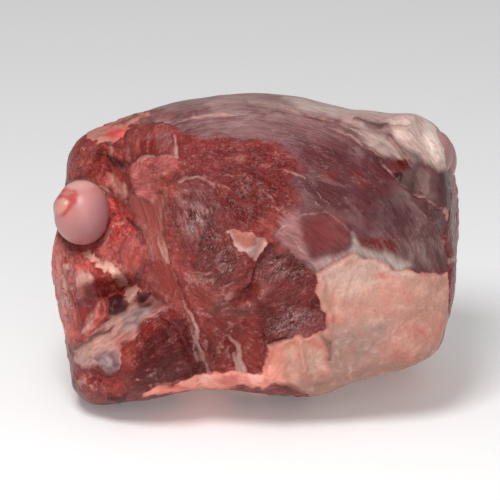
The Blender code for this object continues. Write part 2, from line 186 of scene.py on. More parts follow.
# Sinews: path in pixels, and half width in pixels at each of its points
SINEWS = (
    (((174, 135), (175, 145), (176, 156)), (0.9, 1.2, 2.4)),
    (((131, 166), (139, 158), (148, 155), (163, 154), (174, 156)), (0.3, 0.8, 1.1, 0.9, 0.8)),
    (((178, 181), (183, 177), (196, 177), (206, 179), (214, 185), (218, 191)),
     (1.6, 1.5, 1.1, 1.0, 0.7, 0.2)),
    (((91, 181), (103, 188), (113, 195), (121, 199)), (0.4, 0.8, 0.9, 0.5)),
    (((66, 183), (74, 180), (84, 180), (92, 182)), (0.3, 0.8, 0.9, 0.4)),
    (((163, 238), (166, 250), (167, 263)), (0.5, 1.7, 0.9)),
    (((163, 248), (170, 264), (178, 290), (186, 307)), (0.3, 0.5, 0.5, 1.2)),
    (((226, 239), (231, 245), (231, 252)), (0.3, 0.9, 0.3)),
    (((233, 247), (238, 254), (239, 261)), (0.3, 0.9, 0.3)),
    (((242, 253), (246, 261), (246, 268)), (0.3, 1.0, 0.3)),
    (((184, 307), (192, 318), (198, 331), (196, 343), (203, 357), (207, 372)),
     (0.8, 1.6, 2.6, 1.4, 2.7, 1.8)),
    (((187, 318), (195, 338), (193, 350), (201, 367)), (0.3, 0.9, 0.8, 0.3)),
    (((157, 236), (160, 248), (166, 262)), (0.4, 1.4, 0.5)),
    (((218, 331), (231, 338), (238, 348), (243, 369)), (0.3, 0.9, 2.3, 3.2)),
    (((233, 352), (237, 360), (239, 372)), (1.0, 2.4, 2.4)),
    (((193, 272), (206, 275), (214, 272)), (0.3, 0.8, 0.2)),
    (((216, 289), (226, 286), (233, 283), (241, 284)), (0.2, 0.6, 0.6, 0.2)),
    (((308, 180), (319, 194), (329, 203)), (0.2, 0.5, 0.2)),
    (((284, 170), (296, 174), (306, 178)), (0.5, 1.1, 0.4)),
    (((296, 176), (305, 190), (318, 204), (330, 214)), (0.2, 0.4, 0.4, 0.1)),
    (((298, 217), (312, 214), (324, 212)), (0.3, 0.8, 0.3)),
    (((282, 231), (291, 236), (299, 248), (313, 263)), (0.4, 0.9, 0.8, 0.4)),
    (((275, 238), (283, 227), (293, 221)), (0.4, 1.0, 0.3)),
    (((330, 214), (344, 226), (356, 238)), (0.1, 0.3, 0.2)),
    (((262, 186), (268, 196), (274, 204)), (0.3, 0.7, 0.3)),
    (((163, 123), (179, 120), (204, 115), (223, 113), (236, 114), (253, 113)),
     (0.2, 0.7, 0.8, 1.3, 0.8, 0.3)),
    (((126, 124), (139, 116), (153, 113)), (0.5, 1.0, 0.4)),
    (((246, 100), (279, 103), (304, 113), (329, 119), (353, 129), (373, 141)),
     (0.3, 0.5, 0.7, 0.5, 0.8, 0.5)),
    (((296, 117), (326, 125), (350, 136), (370, 149), (388, 161)), (0.2, 0.4, 0.6, 0.7, 0.2)),
    (((88, 138), (97, 131), (108, 128), (121, 126)), (0.4, 1.0, 0.9, 0.3)),
    (((95, 143), (106, 139), (118, 137), (127, 133)), (0.3, 0.7, 0.8, 0.3)),
    (((104, 150), (113, 155), (119, 164), (124, 172)), (0.3, 0.7, 0.8, 0.3)),
    (((107, 244), (115, 249), (119, 257), (113, 263)), (0.3, 0.7, 0.6, 0.3)),
    (((119, 262), (123, 272), (126, 284)), (0.4, 0.9, 0.6)),
    (((99, 291), (103, 300), (101, 312)), (0.4, 0.9, 0.3)),
    # Painted highlight along the bright top rim of the facet, drawn as a sinew
    (((73, 279), (80, 274), (90, 275), (96, 280)), (0.6, 1.4, 1.2, 0.5)),
    # These four: painted glints along the moist left edge, drawn as pale sinews
    (((54, 240), (58, 252), (61, 262)), (0.3, 1.3, 0.4)),
    (((60, 290), (64, 305), (69, 322)), (0.3, 1.2, 0.4)),
    (((66, 244), (69, 256), (68, 270)), (0.3, 0.9, 0.3)),
    (((56, 276), (59, 286), (60, 298)), (0.3, 0.9, 0.3)),
    (((118, 199), (122, 207), (120, 214)), (0.4, 0.9, 0.3)),
    (((112, 231), (104, 239), (95, 246)), (0.5, 1.1, 0.6)),
    (((84, 360), (100, 345), (118, 331)), (0.3, 0.8, 0.3)),
    (((112, 343), (130, 328), (148, 316), (166, 306)), (0.3, 0.9, 0.8, 0.3)),
    (((92, 333), (108, 322), (124, 311), (140, 303)), (0.3, 0.8, 1.0, 0.3)),
    (((91, 353), (97, 350), (104, 353)), (0.5, 1.1, 0.4)),
    (((117, 352), (120, 360), (119, 368)), (0.6, 1.1, 0.4)),
    (((388, 136), (398, 148), (412, 164)), (0.9, 1.1, 0.8)),
    (((379, 160), (391, 171), (401, 183), (421, 196), (438, 205), (456, 213)),
     (0.4, 0.7, 0.9, 0.8, 0.9, 1.2)),
    (((285, 336), (295, 330), (308, 322)), (0.2, 0.5, 0.2)),
    (((92, 327), (106, 325), (124, 321), (139, 315)), (0.2, 0.6, 0.8, 0.3)),
    # Painted glint along the moist left edge, drawn as a pale sinew
    (((58, 262), (63, 285), (68, 300)), (0.4, 1.3, 0.4)),
    (((113, 280), (121, 284), (127, 286)), (0.8, 1.4, 1.2)),
)

# Painted shade in the gaps between tissues, which are also pressed in as grooves: the same, and
# strength
SHADED_GAPS = (
    (((178, 175), (174, 181), (167, 184)), (0.8, 1.2, 0.5), 0.6),
    (((270, 246), (262, 262), (253, 274), (243, 289)), (1.7, 1.8, 1.4, 0.7), 0.75),
    (((129, 217), (136, 226), (143, 232)), (0.6, 1.2, 0.5), 0.8),
    (((146, 262), (142, 270), (138, 277)), (1.0, 2.0, 1.0), 0.6),
    (((138, 277), (147, 282), (152, 292), (163, 300), (172, 306)), (0.6, 1.2, 1.4, 1.2, 0.6), 0.3),
    (((89, 338), (98, 334), (108, 331), (114, 325)), (0.5, 1.4, 1.2, 0.3), 0.75),
    (((74, 350), (88, 341), (104, 328)), (0.8, 0.9, 0.3), 0.7),
    (((112, 156), (117, 160), (123, 166)), (1.6, 4.2, 2.2), 0.85),
    (((146, 118), (153, 119), (158, 116)), (0.8, 1.9, 0.8), 0.3),
    (((91, 356), (97, 359), (102, 357), (107, 362)), (0.3, 0.9, 0.6, 0.3), 0.45),
    (((97, 366), (104, 364), (112, 368)), (0.3, 1.0, 0.3), 0.4),
    (((110, 354), (114, 359), (115, 366)), (0.3, 0.9, 0.4), 0.4),
    (((354, 120), (373, 125), (388, 127), (409, 125)), (0.5, 1.3, 1.3, 0.3), 0.5),
    (((321, 335), (328, 343), (329, 357)), (0.8, 2.0, 1.2), 0.5),
    (((109, 397), (119, 399), (127, 395)), (1.4, 2.4, 1.0), 0.85),
    (((279, 384), (292, 388), (305, 392)), (1.4, 2.8, 0.8), 0.6),
    (((206, 310), (222, 309), (238, 312), (256, 311)), (0.2, 0.6, 0.6, 0.2), 0.25),
    (((98, 137), (111, 133), (124, 130)), (0.3, 0.8, 0.3), 0.4),
    (((112, 125), (124, 122), (136, 116), (146, 115)), (0.4, 1.2, 1.0, 0.4), 0.6),
    (((100, 131), (108, 129), (114, 127)), (0.3, 0.8, 0.3), 0.4),
    (((104, 142), (116, 144), (126, 148)), (0.4, 1.3, 0.8), 0.6),
    (((133, 316), (141, 311), (150, 305)), (0.4, 1.2, 0.4), 0.55),
    (((118, 331), (129, 323), (138, 317)), (0.3, 0.9, 0.3), 0.45),
    (((96, 372), (106, 375), (118, 374), (122, 366)), (0.3, 1.2, 1.2, 0.4), 0.55),
    (((76, 340), (84, 344), (92, 338)), (0.5, 1.2, 0.5), 0.6),
    (((160, 190), (165, 200), (163, 216), (166, 236)), (0.5, 1.0, 0.8, 0.4), 0.45),
    (((98, 236), (106, 228), (114, 216)), (0.6, 1.6, 0.6), 0.6),
    (((128, 130), (127, 148), (126, 166)), (0.8, 1.2, 0.8), 0.6),
    (((214, 213), (209, 226), (201, 242), (193, 267)), (0.4, 0.9, 1.1, 0.4), 0.55),
    (((266, 258), (290, 256), (306, 262), (315, 272)), (0.4, 0.8, 1.0, 0.6), 0.6),
    (((266, 344), (276, 340), (292, 336)), (0.6, 1.0, 0.6), 0.6),
)

# Painted shade in deep holes, which are also pressed in: outlines in pixels
SHADED_HOLES = {
    "cave_left": ((109, 299), (120, 296), (127, 300), (126, 310), (116, 316), (108, 314)),
    "cave_right": ((136, 297), (143, 292), (150, 293), (148, 299), (139, 303)),
    "flap_hole": ((392, 172), (402, 174), (402, 184), (397, 180)),
}

# How dark the lean is between its wet glints
LEAN_SHADE = (0.78, 0.60, 0.60)

# Lean tints by muscle: outline in pixels, how far its edge fades, colour
LEAN_TINTS = (
    (((150, 125), (330, 125), (330, 260), (262, 250), (240, 300), (190, 300), (165, 260),
      (165, 200), (180, 170)), 8, (0.33, 0.060, 0.052)),
    (((177, 130), (300, 140), (300, 175), (240, 185), (180, 172)), 7, (0.30, 0.038, 0.032)),
    (((178, 184), (196, 179), (214, 188), (224, 215), (212, 245), (190, 250), (176, 225)), 6,
     (0.30, 0.080, 0.074)),
    (((210, 175), (262, 165), (290, 185), (282, 215), (262, 230), (228, 224), (218, 195)), 6,
     (0.26, 0.030, 0.024)),
    (((195, 243), (236, 243), (243, 280), (222, 292), (196, 280)), 5, (0.25, 0.052, 0.044)),
    (((165, 262), (196, 284), (240, 292), (244, 304), (205, 306), (180, 296)), 5,
     (0.32, 0.066, 0.054)),
    (((258, 138), (300, 146), (298, 190), (272, 200), (254, 172)), 9, (0.26, 0.020, 0.015)),
    (((129, 143), (139, 130), (153, 127), (169, 128), (174, 136), (173, 153), (149, 155),
      (133, 165)), 2, (0.30, 0.060, 0.048)),
    (((128, 168), (139, 158), (163, 155), (177, 157), (178, 176), (166, 186), (154, 203),
      (136, 196)), 2, (0.62, 0.170, 0.155)),
    (((160, 176), (179, 168), (181, 180), (172, 196), (160, 200)), 4, (0.42, 0.070, 0.052)),
    (((128, 192), (150, 204), (169, 190), (166, 214), (163, 232), (167, 262), (184, 304),
      (172, 306), (154, 292), (146, 262), (146, 234), (136, 224)), 6, (0.36, 0.074, 0.058)),
    (((205, 306), (258, 308), (266, 340), (262, 372), (208, 373), (200, 330)), 4,
     (0.29, 0.040, 0.030)),
    (((205, 305), (230, 302), (258, 306), (256, 315), (232, 318), (208, 314)), 5,
     (0.29, 0.080, 0.064)),
    (((268, 252), (284, 255), (306, 265), (316, 283), (314, 292), (327, 315), (326, 329),
      (304, 337), (266, 345), (256, 320), (256, 290)), 3, (0.20, 0.026, 0.022)),
    (((268, 336), (276, 320), (300, 306), (322, 312), (327, 328), (304, 337)), 3,
     (0.30, 0.092, 0.088)),
    (((256, 275), (268, 254), (290, 258), (286, 272), (262, 300)), 4, (0.31, 0.088, 0.080)),
    (((132, 342), (151, 322), (169, 310), (182, 314), (198, 334), (204, 372), (150, 390),
      (112, 398), (108, 376), (124, 360)), 4, (0.13, 0.004, 0.003)),
    (((136, 340), (150, 320), (168, 309), (182, 313), (184, 320), (168, 320), (150, 336),
      (138, 352)), 3, (0.24, 0.012, 0.008)),
    (((118, 347), (132, 342), (137, 352), (132, 372), (120, 368)), 5, (0.34, 0.052, 0.038)),
    (((76, 370), (100, 366), (120, 372), (130, 384), (118, 398), (86, 398)), 9,
     (0.43, 0.052, 0.040)),
    (((50, 240), (84, 248), (108, 272), (126, 288), (108, 300), (98, 330), (76, 346),
       (50, 340)), 5, (0.74, 0.165, 0.136)),
    (((84, 246), (130, 232), (146, 246), (146, 268), (128, 280), (108, 262)), 4,
     (0.64, 0.150, 0.125)),
    (((92, 262), (118, 276), (126, 292), (110, 296), (92, 284)), 4, (0.46, 0.060, 0.044)),
    (((77, 291), (94, 284), (96, 303), (94, 315), (88, 333), (79, 333)), 2,
     (0.20, 0.060, 0.060)),
    (((68, 278), (76, 276), (77, 292), (78, 334), (72, 330)), 3, (0.60, 0.100, 0.075)),
    # Bright pink of the left edge: partly the lean's own colour, partly painted highlight from its
    # glints
    (((46, 236), (60, 240), (66, 290), (72, 334), (62, 334), (50, 280)), 4, (1.0, 0.300, 0.260)),
    (((95, 284), (109, 282), (108, 306), (98, 318)), 3, (0.56, 0.090, 0.068)),
    (((71, 148), (90, 144), (110, 148), (112, 160), (88, 164), (70, 164)), 3,
     (0.36, 0.066, 0.052)),
    (((69, 160), (112, 158), (122, 182), (104, 186), (84, 180), (68, 176)), 3,
     (0.50, 0.088, 0.072)),
    (((104, 144), (128, 140), (129, 160), (120, 158), (108, 156)), 3, (0.62, 0.120, 0.098)),
    (((100, 205), (112, 196), (128, 210), (136, 232), (112, 246), (100, 240)), 5,
     (0.84, 0.100, 0.080)),
    (((268, 208), (284, 214), (276, 236), (262, 244), (252, 230)), 5, (0.46, 0.085, 0.068)),
)

# Silverskin tints: the same, over the lean
FILM_TINTS = (
    (((100, 60), (500, 60), (500, 300), (260, 300), (120, 140)), 4, (0.142, 0.038, 0.044)),
    # Paler over the top: partly the silverskin's own colour, partly painted sheen where light grazes it
    (((120, 60), (330, 60), (352, 118), (300, 112), (250, 104), (200, 107), (150, 113),
      (120, 124)), 6, (0.30, 0.175, 0.165)),
    (((190, 112), (300, 112), (360, 140), (300, 140), (200, 136)), 8, (0.205, 0.078, 0.080)),
    (((126, 118), (150, 109), (172, 111), (176, 119), (150, 124), (130, 125)), 3,
     (0.185, 0.036, 0.034)),
    # Pale band at the top edge: partly the silverskin's own colour, partly painted sheen where light
    # grazes it
    (((280, 94), (340, 104), (420, 112), (400, 124), (350, 118), (300, 108)), 4,
     (0.50, 0.37, 0.33)),
    (((340, 112), (410, 116), (430, 122), (404, 132), (370, 130), (344, 122)), 3,
     (0.50, 0.29, 0.26)),
    (((354, 119), (373, 122), (409, 122), (400, 128), (372, 129)), 2, (0.22, 0.105, 0.10)),
    (((350, 128), (386, 134), (413, 164), (384, 156), (366, 142)), 3, (0.44, 0.29, 0.26)),
    (((394, 143), (410, 143), (421, 152), (419, 162), (404, 160)), 3, (0.24, 0.150, 0.130)),
    (((402, 172), (414, 166), (424, 168), (440, 180), (438, 205), (421, 196), (402, 184)), 3,
     (0.16, 0.074, 0.066)),
    (((438, 168), (450, 166), (462, 186), (462, 214), (438, 204)), 3, (0.105, 0.028, 0.030)),
    (((298, 140), (350, 150), (390, 174), (392, 205), (360, 214), (330, 210), (304, 190)), 8,
     (0.104, 0.014, 0.019)),
    (((319, 170), (339, 172), (336, 183), (322, 182)), 3, (0.15, 0.012, 0.010)),
    (((351, 172), (360, 171), (369, 186), (360, 189)), 3, (0.14, 0.012, 0.008)),
    (((389, 168), (394, 160), (411, 159), (413, 165), (402, 173), (395, 172)), 1.5,
     (0.15, 0.014, 0.010)),
    (((302, 220), (322, 213), (342, 216), (350, 236), (338, 250), (312, 256), (298, 240)), 9,
     (0.180, 0.026, 0.024)),
    (((274, 214), (300, 210), (302, 240), (312, 262), (292, 258), (276, 238)), 4,
     (0.34, 0.135, 0.130)),
    (((306, 262), (330, 256), (352, 250), (330, 266), (314, 274)), 4, (0.40, 0.22, 0.20)),
    (((359, 240), (376, 236), (392, 240), (397, 256), (376, 254), (362, 248)), 2,
     (0.145, 0.014, 0.012)),
    (((352, 232), (362, 246), (398, 258), (420, 262), (400, 270), (352, 252)), 4,
     (0.42, 0.32, 0.28)),
    (((398, 238), (456, 226), (458, 264), (420, 272), (398, 258)), 6, (0.150, 0.068, 0.066)),
    (((98, 162), (132, 162), (132, 204), (98, 204)), 2, (0.66, 0.27, 0.22)),
    # Painted highlight on the bright top of the facet
    (((70, 268), (98, 268), (98, 290), (70, 290)), 9, (0.62, 0.300, 0.250)),
    (((66, 290), (104, 288), (104, 340), (66, 340)), 4, (0.17, 0.036, 0.038)),
    (((78, 308), (96, 304), (94, 338), (78, 338)), 4, (0.26, 0.028, 0.022)),
    (((76, 284), (99, 284), (98, 297), (78, 298)), 5, (0.46, 0.160, 0.150)),
    (((106, 292), (178, 292), (178, 345), (72, 376), (72, 344)), 3, (0.56, 0.270, 0.225)),
    (((132, 300), (176, 298), (176, 312), (142, 330), (128, 324)), 4, (0.40, 0.130, 0.115)),
    (((118, 312), (150, 306), (150, 316), (124, 336)), 4, (0.42, 0.25, 0.23)),
    (((134, 322), (146, 318), (148, 326), (138, 334)), 3, (0.17, 0.072, 0.080)),
    (((110, 334), (134, 330), (132, 344), (118, 348)), 3, (0.50, 0.17, 0.15)),
    (((74, 345), (100, 342), (98, 370), (74, 370)), 4, (0.55, 0.29, 0.235)),
    (((94, 354), (106, 350), (118, 354), (120, 366), (112, 375), (101, 372)), 3,
     (0.24, 0.115, 0.130)),
    (((99, 357), (108, 354), (113, 361), (106, 368), (99, 364)), 4, (0.42, 0.27, 0.285)),
    (((128, 188), (170, 186), (168, 264), (146, 264), (134, 226)), 6, (0.270, 0.054, 0.043)),
    (((160, 190), (170, 188), (168, 240), (162, 240)), 5, (0.34, 0.105, 0.085)),
    (((146, 258), (172, 262), (186, 306), (166, 304)), 3, (0.23, 0.028, 0.020)),
    (((130, 126), (176, 126), (176, 156), (130, 166)), 2, (0.190, 0.015, 0.012)),
    (((131, 150), (140, 132), (168, 127), (172, 134), (146, 138), (138, 152)), 2,
     (0.25, 0.040, 0.033)),
    (((370, 195), (400, 190), (450, 214), (452, 240), (400, 238), (372, 225)), 8,
     (0.110, 0.034, 0.038)),
    (((386, 122), (404, 112), (430, 106), (448, 116), (458, 128), (458, 168), (438, 170),
      (424, 160), (410, 150), (396, 140)), 4, (0.72, 0.49, 0.43)),
    (((424, 120), (448, 122), (454, 158), (436, 162), (424, 146)), 4, (1.0, 0.78, 0.68)),
)

# Fat tints: the same, within the fat
FAT_TINTS = (
    (((120, 260), (480, 250), (480, 420), (120, 420)), 2, (0.56, 0.275, 0.215)),
    (((255, 335), (330, 330), (330, 400), (255, 400)), 8, (0.60, 0.265, 0.200)),
    (((330, 325), (392, 320), (380, 372), (330, 384)), 8, (0.43, 0.255, 0.205)),
    (((284, 352), (302, 348), (308, 362), (292, 372)), 5, (0.66, 0.345, 0.275)),
    (((306, 352), (321, 350), (325, 370), (309, 376)), 4, (0.68, 0.410, 0.330)),
    (((266, 350), (280, 346), (282, 362), (268, 368)), 4, (0.62, 0.210, 0.160)),
    (((324, 268), (362, 262), (380, 282), (352, 300), (328, 296)), 8, (0.66, 0.390, 0.320)),
    # Painted shade: the fat darker along the bottom edge
    (((300, 384), (440, 348), (440, 400), (300, 410)), 8, (0.37, 0.190, 0.145)),
    # Bottom strip: its own red-cream colour, made brighter as painted light where the top light falls
    # on it
    (((140, 370), (285, 366), (285, 400), (140, 402)), 4, (0.90, 0.340, 0.265)),
    # These two pale patches: painted highlights on the bottom strip
    (((194, 373), (209, 373), (212, 382), (197, 384)), 3, (1.0, 0.520, 0.440)),
    (((246, 371), (262, 371), (264, 382), (252, 386)), 3, (1.0, 0.500, 0.420)),
    (((222, 376), (238, 376), (238, 388), (226, 388)), 3, (0.72, 0.190, 0.150)),
    (((158, 382), (180, 379), (182, 389), (160, 393)), 3, (0.78, 0.210, 0.165)),
    (((320, 250), (400, 248), (420, 275), (350, 285), (320, 280)), 8, (0.58, 0.36, 0.30)),
    (((80, 105), (156, 105), (156, 128), (80, 146)), 2, (0.54, 0.190, 0.150)),
    (((80, 124), (104, 124), (104, 146), (80, 146)), 5, (0.52, 0.210, 0.170)),
    (((107, 130), (128, 127), (128, 139), (110, 141)), 4, (1.0, 0.130, 0.114)),
    (((80, 245), (130, 245), (130, 290), (80, 290)), 2, (0.86, 0.500, 0.400)),
    (((222, 222), (275, 222), (275, 265), (222, 265)), 2, (0.60, 0.40, 0.37)),
    (((230, 227), (246, 229), (258, 236), (257, 245), (247, 249), (238, 242)), 2.5,
     (0.45, 0.140, 0.105)),
    (((120, 284), (142, 284), (142, 308), (120, 308)), 2, (0.52, 0.280, 0.225)),
    (((440, 200), (460, 200), (460, 230), (440, 230)), 2, (0.56, 0.29, 0.23)),
)

# Soft patches: fresh red on fat, marbled lean, moist lean with painted sheen and glints, and milky
# skin that is painted sheen along the top edge. Centre and half sizes in pixels, turn in degrees,
# strength
SPREADS = {"blush": (
    ((382, 276), (11, 4), 0, 0.8), ((410, 299), (4, 4), 0, 0.8), ((419, 334), (10, 7), 30, 0.8),
    ((400, 356), (22, 8), 25, 0.6), ((388, 300), (12, 8), 60, 0.4), ((440, 330), (6, 14), 10, 0.5),
    ((331, 300), (5, 16), 10, 0.45), ((334, 322), (9, 7), 40, 0.65), ((318, 346), (10, 4), 20, 0.65),
    ((299, 356), (4, 6), 0, 0.45), ((284, 350), (8, 10), 0, 0.25), ((402, 290), (9, 14), 30, 0.2),
    ((176, 387), (20, 2), 15, 0.9), ((199, 382), (3, 6), 0, 0.8), ((223, 383), (7, 3), 20, 0.8),
    ((248, 380), (6, 5), 0, 0.5), ((266, 382), (5, 4), 0, 0.5), ((350, 262), (10, 4), 0, 0.4),
    ((110, 134), (12, 7), 0, 0.7), ((112, 346), (5, 4), 0, 0.6), ((160, 308), (8, 3), 30, 0.5),
    ((88, 360), (7, 5), 0, 0.3), ((244, 240), (7, 6), 0, 0.5), ((262, 246), (4, 6), 0, 0.4),
), "marble": (
    ((60, 285), (10, 46), 10, 1.0), ((102, 296), (8, 18), 10, 0.6), ((112, 225), (18, 24), 0, 0.7),
    ((118, 270), (18, 16), 30, 0.6), ((92, 384), (20, 12), 10, 0.75), ((160, 380), (24, 6), 15, 0.5),
    ((82, 165), (12, 14), 0, 0.25), ((112, 150), (10, 8), 0, 0.8), ((152, 178), (22, 18), 0, 0.3),
    ((155, 235), (12, 34), 10, 0.35), ((225, 345), (22, 26), 0, 0.3), ((215, 290), (30, 14), 20, 0.35),
    ((205, 215), (36, 34), 0, 0.25), ((250, 180), (40, 30), 0, 0.25), ((290, 230), (16, 30), 0, 0.3),
    ((145, 350), (30, 34), 0, 0.06),
# Moist lean, which gets painted sheen, painted glints and deeper wrinkles
), "wet_and_sheen": (
    ((193, 212), (26, 34), -10, 1.0), ((212, 236), (20, 14), 0, 0.85), ((246, 190), (44, 42), 0, 0.55),
    ((290, 322), (30, 15), -30, 1.0),
    ((286, 267), (24, 16), 0, 1.0), ((150, 178), (20, 18), 0, 0.7), ((152, 142), (18, 12), 0, 0.35),
    ((215, 345), (22, 28), 0, 0.35), ((218, 264), (24, 18), 0, 0.85), ((88, 165), (18, 16), 0, 0.5),
    ((115, 225), (18, 30), 0, 0.7), ((66, 290), (16, 50), 0, 0.9),
    ((235, 155), (50, 14), 0, 0.4), ((150, 235), (16, 30), 0, 0.3), ((92, 382), (20, 16), 0, 0.6),
# Milky skin; the long patches along the top edge are painted sheen
), "milk_and_sheen": (
    ((325, 192), (26, 18), 35, 0.5), ((300, 200), (14, 22), 20, 0.35), ((288, 222), (12, 20), 10, 0.22),
    ((340, 262), (30, 7), 0, 0.9), ((376, 246), (22, 12), 20, 0.8), ((428, 252), (34, 16), 0, 0.7),
    ((300, 110), (60, 10), 0, 0.9), ((380, 118), (50, 12), 0, 0.9), ((365, 145), (22, 12), -30, 0.8),
    ((412, 190), (15, 22), 30, 0.6), ((230, 112), (50, 14), 0, 0.6), ((350, 215), (20, 24), 0, 0.3),
    ((215, 130), (30, 8), 0, 0.5), ((404, 230), (40, 18), 0, 0.35), ((160, 118), (26, 8), 0, 0.5),
    ((243, 97), (18, 7), 0, 1.0), ((107, 363), (14, 12), 0, 0.9), ((86, 358), (10, 8), 0, 0.6),
)}

# Small folds and grooves: path and width in pixels, height in mm
RIDGES = (
    (((70, 280), (73, 300), (77, 332)), 4.0, 1.5),
    (((98, 284), (104, 296), (100, 318)), 4.0, 1.7),
    (((83, 290), (87, 325)), 5.0, -1.2),
    (((58, 250), (62, 275), (66, 300), (72, 335)), 4.0, 1.0),
    (((80, 352), (100, 338), (116, 322), (134, 308), (150, 301)), 4.0, 1.4),
    (((100, 346), (124, 330), (140, 316), (160, 305)), 3.0, 1.2),
    (((110, 336), (128, 320), (146, 307)), 2.0, -0.8),
    (((108, 172), (112, 184), (120, 196)), 3.5, 1.8),
    (((132, 166), (139, 158), (148, 155), (163, 154), (173, 155)), 2.0, 0.9),
    (((136, 169), (148, 161), (166, 160)), 2.5, -0.9),
    (((174, 134), (176, 156)), 2.2, 0.9),
    (((179, 180), (196, 177), (212, 183), (219, 192)), 2.4, 1.1),
    (((181, 185), (197, 182), (210, 188)), 2.4, -0.8),
    (((163, 240), (168, 262), (178, 290), (188, 308)), 2.4, 1.0),
    (((170, 190), (167, 214), (166, 240)), 2.4, -1.0),
    (((130, 192), (138, 224), (146, 234)), 2.2, -1.0),
    (((188, 310), (199, 330), (197, 345), (207, 372)), 3.0, 1.5),
    (((192, 302), (206, 330), (206, 352), (214, 372)), 3.0, -1.0),
    (((230, 338), (238, 350), (243, 368)), 3.4, 1.3),
    (((85, 250), (96, 263), (110, 266), (124, 284)), 3.6, 1.4),
    (((227, 232), (240, 248), (252, 258)), 3.0, 1.1),
    (((272, 345), (264, 372)), 4.5, 1.2),
    (((290, 344), (294, 360), (290, 378)), 7.0, 1.8),
    (((310, 342), (314, 360), (318, 384)), 6.0, 1.6),
    (((300, 345), (303, 358), (304, 374)), 2.8, -1.6),
    (((320, 334), (328, 343), (329, 358)), 2.8, -2.4),
    (((336, 340), (341, 362), (336, 385)), 5.0, 1.1),
    (((326, 276), (334, 300), (336, 320)), 4.0, 0.8),
    (((345, 262), (372, 282), (390, 284)), 5.0, -0.6),
    (((352, 372), (372, 345), (392, 318)), 5.0, 0.6),
    (((378, 362), (398, 336), (418, 312)), 5.0, 0.5),
    (((388, 137), (400, 150), (413, 164)), 1.8, 1.2),
    (((384, 140), (394, 152), (404, 162)), 3.0, -1.0),
    (((379, 160), (391, 171), (402, 184), (421, 197), (439, 206)), 2.2, 1.2),
    (((374, 164), (388, 177), (404, 191), (424, 205)), 3.0, -0.7),
    (((400, 138), (420, 143), (442, 149)), 2.0, -0.9),
    (((356, 121), (374, 126), (392, 128), (409, 126)), 2.4, -1.3),
    (((412, 166), (420, 178), (430, 200)), 3.0, 0.9),
    (((300, 178), (318, 196), (330, 206)), 2.6, 0.5),
    (((250, 102), (300, 112), (340, 124), (372, 142)), 3.2, 0.6),
    (((268, 250), (258, 266), (245, 286)), 2.6, -1.6),
    (((146, 262), (141, 272)), 2.5, -1.6),
)

# The ball joint: stump of its cut ligament, and the tints of its gristle, in pixels
STUMP = ((60, 205), (7.0, 9.0), 20.0)
BALL_TINTS = (
    # These two: painted shade, the ball darker on its lower part
    (((70, 226), (100, 206), (114, 200), (114, 250), (70, 250)), 14, (0.40, 0.150, 0.150)),
    (((96, 200), (116, 190), (116, 246), (90, 250)), 10, (0.42, 0.185, 0.195)),
    # Painted highlight: the pale arc along the top of the ball
    (((60, 176), (92, 176), (100, 186), (84, 188), (66, 190)), 5, (0.70, 0.370, 0.330)),
    (((52, 198), (57, 191), (66, 188), (76, 191), (79, 196), (76, 203), (71, 209), (63, 217),
      (59, 216), (64, 208), (54, 203)), 2, (0.50, 0.055, 0.045)),
    (((54, 200), (63, 197), (68, 201), (66, 208), (60, 215), (54, 212)), 2,
     (0.64, 0.290, 0.235)),
    (((59, 193), (67, 190), (74, 193), (68, 196)), 2, (0.60, 0.200, 0.170)),
)
KNUCKLE_TINT = (0.42, 0.205, 0.200)

# Where the silverskin thins out gradually over the lean: centre, half sizes, turn, extra softness
SOFT_EDGES = (
    ((296, 172), (22, 46), 0, 4.0), ((200, 134), (60, 10), 0, 1.6), ((284, 225), (18, 24), 0, 1.5),
)

# Skins and tendons away from the silverskin: fibre angle in degrees, outline in pixels
FILM_PATCHES = (
    (-56, ((105, 171), (112, 168), (114, 178), (124, 186), (128, 193), (123, 199), (116, 195),
           (109, 186))),
    (-82, ((73, 274), (84, 270), (94, 276), (97, 300), (95, 316), (88, 334), (79, 334),
           (76, 310))),
    (33, ((89, 338), (104, 327), (113, 313), (129, 305), (139, 302), (149, 296), (163, 301),
          (174, 306), (163, 311), (148, 319), (139, 325), (134, 338), (123, 342), (119, 350),
          (120, 368), (108, 373), (98, 364), (82, 368), (74, 362), (74, 349))),
    (-74, ((130, 192), (152, 204), (168, 190), (166, 214), (163, 232), (168, 262), (182, 300),
           (172, 302), (156, 288), (148, 262), (146, 234), (138, 224))),
    (58, ((131, 146), (140, 132), (154, 128), (168, 129), (173, 137), (172, 151), (149, 153),
          (135, 161))),
)

# Muscles across the two ends: the middle of each, up and out in mm, and its colour
KNEE_MUSCLES = (
    ((12.0, 20.0), (0.17, 0.020, 0.018)), ((-24.0, 16.0), (0.21, 0.026, 0.022)),
    ((-46.0, -4.0), (0.28, 0.042, 0.035)), ((-10.0, -14.0), (0.24, 0.030, 0.026)),
    ((-34.0, -34.0), (0.33, 0.055, 0.045)), ((16.0, -44.0), (0.27, 0.038, 0.032)),
    ((-12.0, -52.0), (0.22, 0.028, 0.024)), ((38.0, -40.0), (0.32, 0.052, 0.043)),
)
HIP_MUSCLES = (
    ((44.0, -14.0), (0.34, 0.062, 0.052)), ((18.0, -34.0), (0.27, 0.042, 0.036)),
    ((-8.0, -14.0), (0.31, 0.052, 0.044)), ((-30.0, -38.0), (0.36, 0.070, 0.058)),
    ((-52.0, -16.0), (0.25, 0.036, 0.030)), ((-62.0, -48.0), (0.30, 0.050, 0.042)),
)
KNEE_FACE = (4.0, 52.0)
PALE_FILM = (0.36, 0.21, 0.19)
ROSY_FAT = (0.60, 0.27, 0.21)

# Shallow furrows on the outer side, where muscles part under the fat: path in mm, depth
BACK_FURROWS = (
    (((-78.0, 30.0), (-40.0, 22.0), (0.0, 4.0), (44.0, -6.0), (86.0, -30.0)), 2.4),
    (((-52.0, -58.0), (-34.0, -22.0), (-20.0, 12.0), (-16.0, 44.0)), 1.9),
    (((22.0, 50.0), (40.0, 26.0), (66.0, 12.0), (92.0, 14.0)), 1.8),
    (((4.0, -62.0), (26.0, -38.0), (60.0, -28.0)), 1.6),
)

